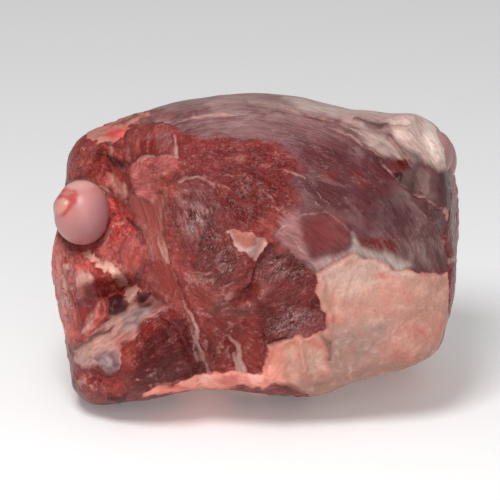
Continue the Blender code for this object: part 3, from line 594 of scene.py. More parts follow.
# Fibre direction of each muscle: its middle in pixels, degrees above the leg's length, reach
GRAIN = (
    ((200, 212), -68, 22), ((188, 178), -25, 12), ((228, 158), -8, 20), ((268, 160), -14, 20),
    ((262, 196), -32, 20), ((238, 214), -55, 14), ((214, 262), 52, 18), ((250, 246), 10, 12),
    ((190, 288), -48, 16), ((235, 300), 8, 16), ((228, 345), -52, 22), ((288, 272), 38, 20),
    ((292, 312), 44, 20), ((160, 352), 38, 26), ((158, 318), 32, 12), ((150, 178), 8, 14),
    ((152, 142), 62, 12), ((152, 225), -72, 20), ((170, 290), -58, 16), ((62, 290), -77, 26),
    ((86, 300), -84, 14), ((104, 298), -70, 12), ((92, 154), 12, 10), ((84, 172), 55, 12),
    ((116, 152), -40, 12), ((116, 186), -56, 12), ((112, 225), -50, 16), ((110, 258), -42, 14),
    ((134, 262), 60, 14), ((116, 322), 34, 16), ((86, 352), 30, 14), ((92, 384), 18, 18),
    ((126, 384), 30, 16), ((350, 290), 60, 34), ((420, 310), 48, 36), ((370, 350), 32, 30),
    ((296, 366), 70, 18), ((220, 382), 10, 24), ((108, 132), 20, 12), ((410, 140), -20, 24),
    ((425, 185), -60, 18), ((330, 200), -50, 30),
)
DIRECTIONS = 5
DIRECTION_LEVEL = math.cos(2.0 * math.pi / DIRECTIONS)
FILM_PIVOT = (246, 334)
FILM_RADIUS = 190

# Reach and swell in pixels of wavering edges: most tissues, torn fat, and the ball's tints
ROUGH_EDGE = (1.6, 9.0)
TORN_EDGE = (3.2, 5.0)
GRISTLE_EDGE = (0.9, 5.0)

# The fat cap's lip: height, place inside the edge and width in mm, and the step's softness in mm
FAT_LIP = (0.9, 2.6, 2.2)
FAT_STEP_SOFTNESS = 0.55

# Distance in mm that stands for no such tissue
NOWHERE = -9.0

# The knee end in mm: where its turn and its dish start and are full, and its plane before the turn
KNEE_TURN_SPAN = (60.0, 98.0)
KNEE_DISH_SPAN = (93.0, 99.0)
KNEE_PLANE = 96.8

# Width in mm of the furrows on the outer side
FURROW_WIDTH = 5.0

# The ball: height in mm of the ligament's stump, half sizes in pixels and depth in mm of its pit
STUMP_HEIGHT = 1.3
PIT_HALF = (13.0, 15.0)
PIT_DEPTH = 0.9

# Strength of each soft patch where it comes and goes on the hidden sides
HIDDEN_SPREADS = {"blush": 0.45, "marble": 0.4, "wet_and_sheen": 0.35, "milk_and_sheen": 0.6}

# Colours of the fine marks in the materials
# Painted sheen on moist lean, cracks darkened as painted shade, and painted glints
WET_SHEEN = (0.47, 0.25, 0.25)
FIBRE_CRACK_SHADE = (0.075, 0.004, 0.003)
WET_GLINT = (0.74, 0.50, 0.48)
LEAN_SEAM = (0.58, 0.25, 0.20)
FAT_SHRED = (0.70, 0.40, 0.34)
DARK_FLECK = (0.17, 0.010, 0.009)
# Milky skin, and the painted sheen along the top edge
MILKY_SKIN_AND_SHEEN = (0.44, 0.32, 0.30)
PALE_THREAD = (0.45, 0.29, 0.28)
FAT_STREAK = (0.52, 0.19, 0.145)
PALE_FAT = (0.66, 0.43, 0.34)
FRESH_RED = (0.50, 0.085, 0.062)
FAT_RIM = (0.60, 0.16, 0.12)
SINEW_COLOURS = ((0.60, 0.38, 0.32), (0.50, 0.22, 0.18))
# Painted shade in the gaps and holes between tissues
PAINTED_SHADE_COLOUR = (0.045, 0.003, 0.004)
PALE_GRISTLE = (0.60, 0.30, 0.30)

# Noise scales of the blotches, in swells to a metre
BLOTCHES = (("Large", 38.0), ("Small", 170.0), ("Grit", 700.0))

# The stage: floor, lights with place and size in metres and share of the key's power, their aim
FLOOR_SIZE = 4.0
FLOOR_GLOW = 0.14
LIGHTS = (
    ("key", (-0.20, -0.50, 0.95), 0.45, 1.25),
    ("front", (0.25, -1.3, 0.65), 0.9, 0.65),
)
LIGHT_AIM = (0.0, 0.0, 0.07)
WHITE = (1.0, 1.0, 1.0, 1.0)


def even_share(low, high, value):
    """Rises evenly from 0 at low to 1 at high."""
    return np.clip((value - low) / (high - low), 0.0, 1.0)


def smooth(low, high, value):
    """Rises smoothly from 0 at low to 1 at high."""
    share = even_share(low, high, value)
    return share * share * (3.0 - 2.0 * share)


def bell(gap, width):
    """1 where there is no gap, fading to nothing past the width."""
    return np.exp(-((gap / width) ** 2))


def blend(first, second, share):
    """The first where the share is 0, the second where it is 1."""
    return first * (1.0 - share) + second * share


def turned_axes(first, second, angle):
    """Two coordinates along and across axes turned by an angle in radians."""
    cosine, sine = math.cos(angle), math.sin(angle)
    return first * cosine + second * sine, second * cosine - first * sine


def to_part_frame(along, up, out):
    """Places in the seen plane, in mm, as X, Y, Z in mm with the ground at zero."""
    sine, cosine = math.sin(SEEN_FROM), math.cos(SEEN_FROM)
    x = along - CENTRE_SHIFT[0]
    y = up * sine - out * cosine - CENTRE_SHIFT[1]
    z = up * cosine + out * sine - GROUND
    return x, y, z


def from_part_frame(places):
    """The seen plane's along, up and out in mm for places in mm in the part's frame."""
    sine, cosine = math.sin(SEEN_FROM), math.cos(SEEN_FROM)
    x, y, z = (places + np.array([CENTRE_SHIFT[0], CENTRE_SHIFT[1], GROUND])).T
    return x, y * sine + z * cosine, z * sine - y * cosine


def picture_place(along, up, out):
    """Where places in mm in the seen plane fall in the photograph, in pixels across and down."""
    near = CAMERA_DISTANCE / (CAMERA_DISTANCE - out)
    middle = PICTURE_WIDTH / 2.0
    across = middle + (along - PICTURE_CENTRE[0]) * near / PIXEL_MM
    return across, middle - (up - PICTURE_CENTRE[1]) * near / PIXEL_MM


def point(place):
    """One (along, up, out) in mm as a point in metres."""
    return [value * MM for value in to_part_frame(*place)]


def outline_radius(angle):
    """Distance in mm from the centre to the outline, at each angle."""
    corners = np.array(OUTLINE)
    corner_angles = np.arctan2(corners[:, 1], corners[:, 0])
    order = np.argsort(corner_angles)
    corner_radii = np.hypot(corners[:, 0], corners[:, 1])
    steps = 720
    fine = np.linspace(-math.pi, math.pi, steps, endpoint=False)
    radii = np.interp(fine, corner_angles[order], corner_radii[order], period=2 * math.pi)
    spread = np.arange(-steps // 2, steps // 2) * 360.0 / steps
    kernel = np.exp(-0.5 * (spread / OUTLINE_BLUR_DEG) ** 2)
    kernel /= kernel.sum()
    softened = np.fft.ifft(np.fft.fft(radii) * np.fft.fft(np.fft.ifftshift(kernel))).real
    return np.interp(angle, fine, softened, period=2 * math.pi)


def along_table(table, along):
    """A value given at places along the leg, read smoothly at every place."""
    places, values = np.array(table, float).T
    shifts = np.linspace(-9.0, 9.0, 7)
    return np.mean([np.interp(along + shift, places, values) for shift in shifts], axis=0)


def path_distance(a, b, path, widths=None):
    """Distance to an open path. With widths, it is the width left inside the path's edge."""
    best = np.full(a.shape, -1e9)
    for i, ((x0, y0), (x1, y1)) in enumerate(zip(path, path[1:])):
        dx, dy = x1 - x0, y1 - y0
        share = np.clip(((a - x0) * dx + (b - y0) * dy) / (dx * dx + dy * dy), 0.0, 1.0)
        gap = np.hypot(a - x0 - share * dx, b - y0 - share * dy)
        width = 0.0 if widths is None else widths[i] + share * (widths[i + 1] - widths[i])
        best = np.maximum(best, width - gap)
    return best if widths is not None else -best


def inside_distance(a, b, edge):
    """Distance to a closed edge, positive inside it."""
    closed = tuple(edge) + (edge[0],)
    inside = np.zeros(a.shape, bool)
    for (x0, y0), (x1, y1) in zip(closed, closed[1:]):
        crosses = (y0 > b) != (y1 > b)
        rise = y1 - y0 if y1 != y0 else 1e-9
        inside ^= crosses & (a < (x1 - x0) * (b - y0) / rise + x0)
    return np.where(inside, 1.0, -1.0) * path_distance(a, b, closed)


def dome(a, b, centre, half, turn, power=2.0):
    """A smooth hump that is 1 at its centre and fades past its half sizes."""
    run, cross = turned_axes(a - centre[0], b - centre[1], math.radians(turn))
    p, q = run / half[0], cross / half[1]
    return np.exp(-((p * p + q * q) ** (power / 2.0)))


def lattice_noise(points, seed):
    """Smooth noise from -1 to 1 at each point, one swell a unit."""
    cell = np.floor(points).astype(np.int64)
    part = points - cell
    part = part * part * (3.0 - 2.0 * part)
    total = np.zeros(len(points))
    for corner in range(8):
        step = np.array([corner & 1, corner >> 1 & 1, corner >> 2 & 1])
        key = ((cell + step) * np.array([73856093, 19349663, 83492791])).sum(axis=1) + seed * 97531
        key = (key ^ (key >> 13)) * 1274126177 & 0xFFFFFFFF
        value = ((key ^ (key >> 15)) & 0xFFFF) / 32767.5 - 1.0
        share = np.where(step, part, 1.0 - part).prod(axis=1)
        total += value * share
    return total


def rough_noise(points, seed, octaves=3):
    """Noise with finer noise on it."""
    total = np.zeros(len(points))
    for octave in range(octaves):
        total += lattice_noise(points * 2.0**octave, seed + octave) / 2.0**octave
    return total


def front_relief(along, up, cleft_scale):
    """Height in mm of muscles, clefts and sinew on the front."""
    height = np.zeros(along.shape)
    for centre, half, turn, rise in BULGES:
        height += rise * dome(along, up, centre, half, turn)
    for centre, half, turn, depth in HOLLOWS:
        height -= depth * dome(along, up, centre, half, turn, 3.0)
    for path, width, depth in CLEFTS:
        height -= cleft_scale * depth * bell(path_distance(along, up, path), width)
    for path, width, rise in CORDS:
        height += rise * bell(path_distance(along, up, path), width)
    return height


def lumps(along, up, height):
    """A gentle unevenness of the whole surface, in mm."""
    a, b = (2.0 * math.pi * value / length for value, length in zip((along, up), LUMP_LENGTH))
    swell = np.sin(a + 0.6) * np.cos(b + 1.1) + 0.7 * np.sin(a * 1.6 - b * 0.8 + 2.0)
    swell += 0.5 * np.cos(b * 1.9 - a * 1.3 + 0.4)
    return height * swell


def knee_turn(up, out):
    """How far in mm the cut end at the knee is turned back, which grows to the front."""
    return even_share(*KNEE_EDGE_DEPTH, out) * along_table(KNEE_EDGE_BACK, up)


def knee_end(along, up, out):
    """Turns the cut end at the knee a little to the front, and dishes it round the bone."""
    near = smooth(*KNEE_TURN_SPAN, along)
    centre, half, depth = KNEE_DISH
    dish = dome(up, out, centre, half, 0.0, 4.0) * depth
    return along - near * knee_turn(up, out) - even_share(*KNEE_DISH_SPAN, along) * dish


class Surface:
    """The leg's surface at the points of a cube: places in mm and what lies where on it."""

    def __init__(self, cube, settings):
        x, w, z = np.abs(cube).T
        rounding = ROUNDNESS + (BACK_ROUNDNESS - ROUNDNESS) * np.clip(-cube[:, 1], 0.0, 1.0)
        square = np.clip(cube[:, 0] * 2.0 - 0.6, 0.0, 1.0)
        corner = rounding + (KNEE_END_SQUARENESS - rounding) * square
        level = np.power(x**corner + w**corner, rounding / corner)
        size = np.power(level + z**rounding, 1.0 / rounding)
        along, self.depth, up = (cube / size[:, None]).T
        ring = np.power(np.abs(along) ** rounding + np.abs(up) ** rounding, 1.0 / rounding)
        angle = np.arctan2(HALF_HEIGHT * up, HALF_LENGTH * along)
        reach = ring * outline_radius(angle)
        self.along, self.up = reach * np.cos(angle), reach * np.sin(angle)
        front = along_table(FRONT_DEPTH, self.along)
        back = along_table(BACK_DEPTH, self.along) - BACK_LEAN * self.up
        self.out = np.where(self.depth > 0.0, front, back) * self.depth
        self.shoulder = smooth(0.0, 1.0 / 1.6, self.depth)
        self.out += self.shoulder * front_relief(self.along, self.up, settings.cleft_scale)
        self.end_along = knee_end(self.along, self.up, self.out)
        self.out += self.shoulder * self.fat_height(settings.fat_thickness)
        away = np.clip(np.abs(self.depth) * 1.4, 0.0, 1.0) ** 2
        swell = lumps(self.along, self.up, settings.lump_height)
        self.out += np.sign(self.depth) * away * swell
        self.end_along = knee_end(self.along, self.up, self.out)

    def fat_height(self, thickness):
        """Height in mm of the fat cap's step and of the lip along its edge."""
        edge = ragged(*self.pixels(), self.out, *ROUGH_EDGE)
        cap = inside_distance(*edge, FAT_CAP) * PIXEL_MM
        lip_height, lip_place, lip_width = FAT_LIP
        lip = lip_height * bell(cap - lip_place, lip_width)
        step = 1.0 / (1.0 + np.exp(-np.clip(cap / FAT_STEP_SOFTNESS, -30.0, 30.0)))
        return thickness * step + lip

    def places(self):
        """X, Y, Z in mm of each point in the part's frame."""
        x, y, z = to_part_frame(self.end_along, self.up, self.out)
        return np.stack([x, y, z], axis=1)

    def pixels(self):
        """Where each point falls in the photograph."""
        return picture_place(self.end_along, self.up, self.out)


def ragged(a, b, out, reach, swell):
    """Pixel places pushed about a little, so that painted edges aren't straight."""
    spots = np.stack([a, b, out * 2.0], axis=1) / swell
    return a + reach * rough_noise(spots, 11), b + reach * rough_noise(spots, 23)


def painted(a, b, tints, start):
    """Colours laid one over the other within soft-edged outlines."""
    colour = np.tile(np.array(start, float), (len(a), 1))
    for edge, fade, tint in tints:
        share = smooth(-fade, fade, inside_distance(a, b, edge))[:, None]
        colour = blend(colour, np.array(tint), share)
    return colour


def fibre_turns(a, b):
    """Cosine and sine of twice the fibres' angle at each pixel place."""
    turns = np.zeros((2, len(a)))
    for (x, y), degrees, reach in GRAIN:
        weight = np.exp(-(((a - x) ** 2 + (b - y) ** 2) / reach**2)) + 1e-5
        double = math.radians(2.0 * degrees)
        turns += np.array([[math.cos(double)], [math.sin(double)]]) * weight
    return turns / np.maximum(np.hypot(*turns), 1e-9)


def arc_places(a, b, out):
    """Places in mm along and across the silverskin's fibres, which run in arcs."""
    da, db = a - FILM_PIVOT[0], FILM_PIVOT[1] - b
    run = FILM_RADIUS * np.arctan2(da, db)
    return np.stack([run * PIXEL_MM, np.hypot(da, db) * PIXEL_MM, out], axis=1)


def direction_share(turns, angle):
    """How much the fibres at each place follow the direction at this angle."""
    along = turns[0] * math.cos(2.0 * angle) + turns[1] * math.sin(2.0 * angle)
    return even_share(DIRECTION_LEVEL, 1.0, along) ** 2


def fibre_noise(seen, turns, stretch, seed, octaves=2):
    """Noise drawn out along the fibres, in places in mm in the seen plane."""
    total = np.zeros(len(seen))
    for index in range(DIRECTIONS):
        angle = math.pi * index / DIRECTIONS
        run, cross = turned_axes(seen[:, 0], seen[:, 1], angle)
        spots = np.stack([run, cross, seen[:, 2]], axis=1) / np.array(stretch)
        total += direction_share(turns, angle) * rough_noise(spots, seed + 7 * index, octaves)
    return total


def muscle_cells(up, out, muscles):
    """Distance in mm to the nearest seam between cut muscles, and each muscle's colour."""
    gaps = np.array([np.hypot(up - middle[0], out - middle[1]) for middle, tint in muscles])
    order = np.argsort(gaps, axis=0)
    nearest = np.take_along_axis(gaps, order[:2], axis=0)
    return (nearest[1] - nearest[0]) / 2.0, np.array([tint for middle, tint in muscles])[order[0]]


def cube_mesh(cells):
    """A closed cube from -1 to 1 in even cells, split twice as fine on its front half."""
    work = bmesh.new()
    bmesh.ops.create_cube(work, size=2.0)
    for axis, count in enumerate(cells):
        long_edges = [e for e in work.edges if abs(e.verts[1].co[axis] - e.verts[0].co[axis]) > 1.0]
        bmesh.ops.subdivide_edges(work, edges=long_edges, cuts=count - 1, use_grid_fill=True)
    front = [e for e in work.edges if min(v.co[1] for v in e.verts) > FRONT_START]
    bmesh.ops.subdivide_edges(work, edges=front, cuts=1, use_grid_fill=True)
    bmesh.ops.triangulate(work, faces=[f for f in work.faces if len(f.verts) > 4])
    return work


def add_layer(mesh, name, kind, values):
    """Stores one value for each point on the mesh."""
    layer = mesh.attributes.new(name, kind, "POINT")
    field = {"FLOAT": "value", "FLOAT_VECTOR": "vector", "FLOAT_COLOR": "color"}[kind]
    layer.data.foreach_set(field, np.ascontiguousarray(values, np.float32).ravel())


def add_colour_layer(mesh, name, tints):
    """Stores one colour for each point on the mesh."""
    add_layer(mesh, name, "FLOAT_COLOR", np.hstack([tints, np.ones((len(tints), 1))]))


def linked_object(name, work):
    """An object in the shape of a bmesh, linked to the scene."""
    mesh = bpy.data.meshes.new(name)
    work.to_mesh(mesh)
    work.free()
    made = bpy.data.objects.new(name, mesh)
    bpy.context.scene.collection.objects.link(made)
    return made


def finish_piece(name, work, node):
    """Makes a piece from a bmesh, smooth, riding on the root body in place of its node."""
    piece = linked_object(name, work)
    piece.data.shade_smooth()
    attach(piece, "root")
    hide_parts(node)
    return piece


def fat_distance(surface, pixels, edge):
    """How deep in mm each point of the front lies in fat."""
    fat = inside_distance(*edge, FAT_CAP)
    torn = ragged(*pixels, surface.out, *TORN_EDGE)
    turned_away = 16.0 * smooth(0.20, 0.0, surface.depth)
    for patch in FAT_PATCHES.values():
        fat = np.maximum(fat, inside_distance(*torn, patch) - turned_away)
    return fat * PIXEL_MM


def film_distance(surface, pixels, edge):
    """How deep in mm each point lies in silverskin or tendon, and places along those fibres."""
    film = inside_distance(*edge, SILVERSKIN) * PIXEL_MM
    softness = np.ones(len(film))
    for centre, half, turn, extra in SOFT_EDGES:
        softness += extra * dome(*pixels, centre, half, turn)
    film /= softness
    arcs = arc_places(*pixels, surface.out)
    for degrees, patch in FILM_PATCHES:
        near = inside_distance(*edge, patch)
        film = np.maximum(film, near * PIXEL_MM / 1.3)
        run, cross = turned_axes(surface.along, surface.up, math.radians(degrees))
        straight = np.stack([run, cross, surface.out], axis=1)
        arcs = np.where((near > -5.0)[:, None], straight, arcs)
    return film, arcs


def sinew_distance(edge):
    """How deep in mm each point of the front lies in a sinew."""
    sinew = np.full(edge[0].shape, NOWHERE)
    for path, widths in SINEWS:
        sinew = np.maximum(sinew, path_distance(*edge, path, widths) * PIXEL_MM)
    return sinew


def painted_shade_amount(edge):
    """How much painted shade lies in the gaps and holes at each point of the front."""
    painted_shade = np.zeros(edge[0].shape)
    for path, widths, strength in SHADED_GAPS:
        near = path_distance(*edge, path, widths)
        painted_shade = np.maximum(painted_shade, strength * smooth(-1.6, 0.6, near))
    for hole in SHADED_HOLES.values():
        painted_shade = np.maximum(painted_shade, 0.95 * smooth(-1.5, 1.5, inside_distance(*edge, hole)))
    return painted_shade


def spread_amount(pixels, spots):
    """Strength of one kind of soft patch at each point of the front."""
    amount = np.zeros(pixels[0].shape)
    for centre, half, turn, strength in spots:
        amount = np.maximum(amount, strength * dome(*pixels, centre, half, turn))
    return amount


def front_tissues(surface, pixels, edge, settings):
    """What the photograph shows at each point, and places along the silverskin's fibres."""
    film, arcs = film_distance(surface, pixels, edge)
    front = {
        "fat": fat_distance(surface, pixels, edge),
        "film": film,
        "sinew": sinew_distance(edge),
        "painted_shade": painted_shade_amount(edge),
        "lean_tint": painted(*edge, LEAN_TINTS, settings.lean_colour) * np.array(LEAN_SHADE),
        "film_tint": painted(*edge, FILM_TINTS, settings.film_colour),
        "fat_tint": painted(*edge, FAT_TINTS, settings.fat_colour),
        "turns": fibre_turns(*pixels).T,
    }
    for name, spots in SPREADS.items():
        front[name] = spread_amount(pixels, spots)
    return front, arcs


def hidden_tissues(surface, places, waves, settings):
    """Lean round the hip end, silverskin over the top and fat on the outer side."""
    hip = smooth(-70.0, -88.0, surface.along)
    top = smooth(20.0, 50.0, surface.up)
    fat = -surface.out - 8.0 - 30.0 * hip - 26.0 * top + 5.0 * rough_noise(places / 14.0, 31)
    hip_seam, hip_tint = muscle_cells(*waves, HIP_MUSCLES)
    wander = smooth(-0.6, 0.6, rough_noise(places / 26.0, 83))[:, None]
    patchy = smooth(0.2, 0.9, rough_noise(places / 17.0, 5))
    hidden = {
        "fat": fat,
        "film": 5.0 - 11.0 * hip,
        "sinew": np.where(hip > 0.5, 0.7 - hip_seam, NOWHERE),
        "painted_shade": 0.0,
        "lean_tint": hip_tint,
        "film_tint": blend(np.array(settings.film_colour), np.array(PALE_FILM), wander),
        "fat_tint": blend(np.array(settings.fat_colour), np.array(ROSY_FAT), wander),
        "turns": np.array([1.0, 0.0]),
    }
    for name, amount in HIDDEN_SPREADS.items():
        hidden[name] = amount * patchy
    return hidden


def cut_knee_end(fields, surface, places, waves):
    """Lays muscle sections inside a rim of fat over the cut end at the knee."""
    past = places[:, 0] - (KNEE_PLANE - knee_turn(surface.up, surface.out))
    rim_place = 0.8 * (along_table(KNEE_RIM, surface.up) - surface.out)
    knee = smooth(-0.4, 0.6, np.minimum(past, rim_place))
    across = np.abs((surface.up - KNEE_FACE[0]) / KNEE_FACE[1])
    rim = 46.0 * (1.0 - np.power(across**4 + np.abs(surface.depth) ** 4, 0.25))
    rim_fat = 4.0 - rim + 1.5 * rough_noise(places / 9.0, 43) - 8.0 * smooth(-4.0, 14.0, surface.out)
    seam, tint = muscle_cells(*waves, KNEE_MUSCLES)
    fields["fat"] = blend(fields["fat"], np.minimum(fields["fat"], rim_fat), knee)
    fields["film"] = blend(fields["film"], -6.0, knee)
    fields["sinew"] = blend(fields["sinew"], 0.8 - seam, knee)
    fields["lean_tint"] = blend(fields["lean_tint"], tint, knee[:, None])


def fold_height(surface, edge):
    """Height in mm of small folds on the front and of furrows on the outer side."""
    fold = np.zeros(edge[0].shape)
    for path, width, rise in RIDGES:
        fold += rise * bell(path_distance(*edge, path), width) * surface.shoulder
    for path, depth in BACK_FURROWS:
        near = path_distance(surface.along, surface.up, path)
        fold -= depth * bell(near, FURROW_WIDTH) * smooth(-0.3, -0.8, surface.depth)
    return fold


def body_fields(surface, places, settings):
    """Works out what tissue lies at each point, as distances in mm and colours."""
    pixels = surface.pixels()
    edge = ragged(*pixels, surface.out, *ROUGH_EDGE)
    waves = (
        surface.up + 3.5 * rough_noise(places / 13.0, 91),
        surface.out + 3.5 * rough_noise(places / 13.0, 97),
    )
    front, arcs = front_tissues(surface, pixels, edge, settings)
    hidden = hidden_tissues(surface, places, waves, settings)
    shown = smooth(-0.38, -0.04, surface.depth + 0.10 * rough_noise(places / 12.0, 71))
    fields = {}
    for name, values in front.items():
        fields[name] = blend(hidden[name], values, shown if values.ndim == 1 else shown[:, None])
    cut_knee_end(fields, surface, places, waves)
    turns = fields["turns"] / np.maximum(np.hypot(*fields["turns"].T), 1e-9)[:, None]
    fields["turns"] = np.stack([turns[:, 0], turns[:, 1], np.zeros(len(turns))], axis=1)
    fields["seen"] = np.stack([surface.along, surface.up, surface.out], axis=1)
    fields["arcs"] = arcs
    fields["fold"] = fold_height(surface, edge)
    return fields


def relief_height(fields):
    """Fine relief in mm along each point's normal: fat over lean, cords, cracks and fibres."""
    seen, turns = fields["seen"], fields["turns"].T[:2]
    fat = smooth(-0.8, 0.8, fields["fat"])
    film = smooth(-1.0, 1.5, fields["film"]) * (1.0 - fat)
    lean = 1.0 - np.maximum(fat, film)
    height = 0.5 * smooth(-0.5, 0.5, fields["fat"]) + 0.35 * film
    height += 0.5 * smooth(-0.5, 0.4, fields["sinew"]) * (1.0 - 0.5 * fat)
    height -= 1.4 * fields["painted_shade"]
    height += fields["fold"]
    fibre = fibre_noise(seen, turns, (9.0, 2.2, 4.0), 41)
    clumps = fibre_noise(seen, turns, (16.0, 6.0, 8.0), 47)
    wrinkle = 1.0 - 2.2 * np.abs(fibre_noise(seen, turns, (8.0, 3.8, 5.0), 61))
    height += lean * (0.18 * fibre + 0.5 * clumps + (0.15 + 0.4 * fields["wet_and_sheen"]) * wrinkle)
    arcs = rough_noise(fields["arcs"] / np.array([22.0, 1.9, 6.0]), 53, 2)
    height += film * (0.12 * arcs + 0.3 * clumps)
    height += fat * 0.6 * fibre_noise(seen, turns, (12.0, 5.0, 8.0), 59, 3)
    return height


def connect(tree, given, socket):
    """Gives a shader input a socket to follow, or a plain number."""
    if isinstance(given, bpy.types.NodeSocket):
        tree.links.new(given, socket)
    else:
        socket.default_value = given


def mix_colour(tree, factor, first, second):
    """A colour mix. The factor is a socket, and first and second are sockets or plain colours."""
    node = tree.nodes.new("ShaderNodeMix")
    node.data_type = "RGBA"
    tree.links.new(factor, node.inputs[0])
    for socket, given in zip((node.inputs[6], node.inputs[7]), (first, second)):
        connect(tree, (*given, 1.0) if isinstance(given, tuple) else given, socket)
    return node.outputs[2]


def mix_value(tree, factor, first, second):
    """A mix of two number sockets."""
    node = tree.nodes.new("ShaderNodeMix")
    for socket, given in zip((node.inputs[0], node.inputs[2], node.inputs[3]), (factor, first, second)):
        tree.links.new(given, socket)
    return node.outputs[0]


def math_node(tree, operation, *given):
    """One sum. Each input is a socket or a plain number."""
    node = tree.nodes.new("ShaderNodeMath")
    node.operation = operation
    for socket, value in zip(node.inputs, given):
        connect(tree, value, socket)
    return node.outputs[0]


def times(tree, first, second):
    """A product of two sockets or plain numbers."""
    return math_node(tree, "MULTIPLY", first, second)


def centred(tree, value, middle=0.5):
    """A pattern's swing about its middle."""
    return math_node(tree, "SUBTRACT", value, middle)


def ramp(tree, value, low, high, to_low=0.0, to_high=1.0):
    """Maps a value smoothly from one span to another."""
    node = tree.nodes.new("ShaderNodeMapRange")
    node.interpolation_type = "SMOOTHSTEP"
    tree.links.new(value, node.inputs["Value"])
    node.inputs["From Min"].default_value = low
    node.inputs["From Max"].default_value = high
    node.inputs["To Min"].default_value = to_low
    node.inputs["To Max"].default_value = to_high
    return node.outputs["Result"]


def layer_socket(tree, name, output):
    """One of the mesh's layers, by its name and the kind of output."""
    node = tree.nodes.new("ShaderNodeAttribute")
    node.attribute_name = name
    return node.outputs[output]


def new_group(name, inputs, outputs):
    """An empty shader node group with the named inputs, and outputs that are numbers."""
    tree = bpy.data.node_groups.new(name, "ShaderNodeTree")
    for label, kind in inputs:
        tree.interface.new_socket(label, in_out="INPUT", socket_type=kind)
    for label in outputs:
        tree.interface.new_socket(label, in_out="OUTPUT", socket_type="NodeSocketFloat")
    return tree, tree.nodes.new("NodeGroupInput"), tree.nodes.new("NodeGroupOutput")


def noise(tree, vector, scale, detail, roughness, distortion=0.0):
    """A noise texture at the places given. Its scale is a socket or a plain number."""
    node = tree.nodes.new("ShaderNodeTexNoise")
    node.inputs["Detail"].default_value = detail
    node.inputs["Roughness"].default_value = roughness
    node.inputs["Distortion"].default_value = distortion
    tree.links.new(vector, node.inputs["Vector"])
    connect(tree, scale, node.inputs["Scale"])
    return node.outputs["Fac"]


def stretched(tree, vector, factors):
    """Places scaled by one factor for each axis."""
    node = tree.nodes.new("ShaderNodeVectorMath")
    node.operation = "MULTIPLY"
    node.inputs[1].default_value = factors
    tree.links.new(vector, node.inputs[0])
    return node.outputs[0]


def turned(tree, vector, angle):
    """Places turned about the axis that points out of the seen plane."""
    node = tree.nodes.new("ShaderNodeVectorRotate")
    node.rotation_type = "Z_AXIS"
    node.inputs["Angle"].default_value = angle
    tree.links.new(vector, node.inputs["Vector"])
    return node.outputs[0]


def fibre_group():
    """Muscle fibres: streaks, cracks and strokes along the direction given; the lean gets painted shade
    in the cracks and painted glints on the strokes.
    """
    tree, given, made = new_group(
        "lamb fibres",
        (("Place", "NodeSocketVector"), ("Turns", "NodeSocketVector")),
        ("Streaks", "Cracks", "Strokes"),
    )
    streaks, brush = 0.0, 0.0
    for index in range(DIRECTIONS):
        angle = math.pi * index / DIRECTIONS
        dot = tree.nodes.new("ShaderNodeVectorMath")
        dot.operation = "DOT_PRODUCT"
        dot.inputs[1].default_value = (math.cos(2.0 * angle), math.sin(2.0 * angle), 0.0)
        tree.links.new(given.outputs["Turns"], dot.inputs[0])
        near = math_node(tree, "MAXIMUM", centred(tree, dot.outputs["Value"], DIRECTION_LEVEL), 0.0)
        near = math_node(tree, "DIVIDE", near, 1.0 - DIRECTION_LEVEL)
        share = times(tree, near, near)
        run = turned(tree, given.outputs["Place"], -angle)
        drawn = noise(tree, stretched(tree, run, (0.10, 0.44, 0.28)), 1.0, 4.0, 0.6)
        brushed = noise(tree, stretched(tree, run, (0.22, 0.54, 0.38)), 1.0, 3.0, 0.55, 0.9)
        streaks = math_node(tree, "ADD", times(tree, centred(tree, drawn), share), streaks)
        brush = math_node(tree, "ADD", times(tree, centred(tree, brushed), share), brush)
    crack = math_node(tree, "ABSOLUTE", brush)
    stroke = math_node(tree, "ABSOLUTE", centred(tree, brush, 0.055))
    tree.links.new(math_node(tree, "ADD", streaks, 0.5), made.inputs["Streaks"])
    tree.links.new(ramp(tree, crack, 0.0, 0.034, 1.0, 0.0), made.inputs["Cracks"])
    tree.links.new(ramp(tree, stroke, 0.0, 0.030, 1.0, 0.0), made.inputs["Strokes"])
    return tree


def skin_group():
    """Silverskin: fine fibres that run in arcs, pale threads, and a cloudiness that comes and goes."""
    tree, given, made = new_group(
        "lamb skin", (("Place", "NodeSocketVector"),), ("Fibres", "Threads", "Cloud"))
    place = given.outputs["Place"]
    fibres = noise(tree, stretched(tree, place, (0.09, 0.80, 0.4)), 1.0, 3.0, 0.6)
    thread = noise(tree, stretched(tree, place, (0.10, 0.34, 0.3)), 1.0, 3.0, 0.55, 0.6)
    cloud = noise(tree, stretched(tree, place, (0.06, 0.14, 0.12)), 1.0, 5.0, 0.68, 0.5)
    tree.links.new(fibres, made.inputs["Fibres"])
    gap = math_node(tree, "ABSOLUTE", centred(tree, thread, 0.52))
    tree.links.new(ramp(tree, gap, 0.0, 0.030, 1.0, 0.0), made.inputs["Threads"])
    tree.links.new(cloud, made.inputs["Cloud"])
    return tree


def blotch_group():
    """Blotches in three sizes, from the piece's own coordinates."""
    if "lamb blotches" in bpy.data.node_groups:
        return bpy.data.node_groups["lamb blotches"]
    tree, given, made = new_group(
        "lamb blotches", (("Size", "NodeSocketFloat"),), [label for label, scale in BLOTCHES])
    tree.interface.items_tree["Size"].default_value = 1.0
    place = tree.nodes.new("ShaderNodeTexCoord").outputs["Object"]
    for label, scale in BLOTCHES:
        size = times(tree, given.outputs["Size"], scale)
        tree.links.new(noise(tree, place, size, 4.0, 0.6, 0.3), made.inputs[label])
    return tree


def placed_group(tree, group):
    """A node that stands for a whole group in a material."""
    node = tree.nodes.new("ShaderNodeGroup")
    node.node_tree = group
    return node


def tone(tree, parts):
    """One plus each pattern's swing about its middle, times its weight."""
    total = 1.0
    for value, weight in parts:
        total = math_node(tree, "ADD", times(tree, centred(tree, value), weight), total)
    return total


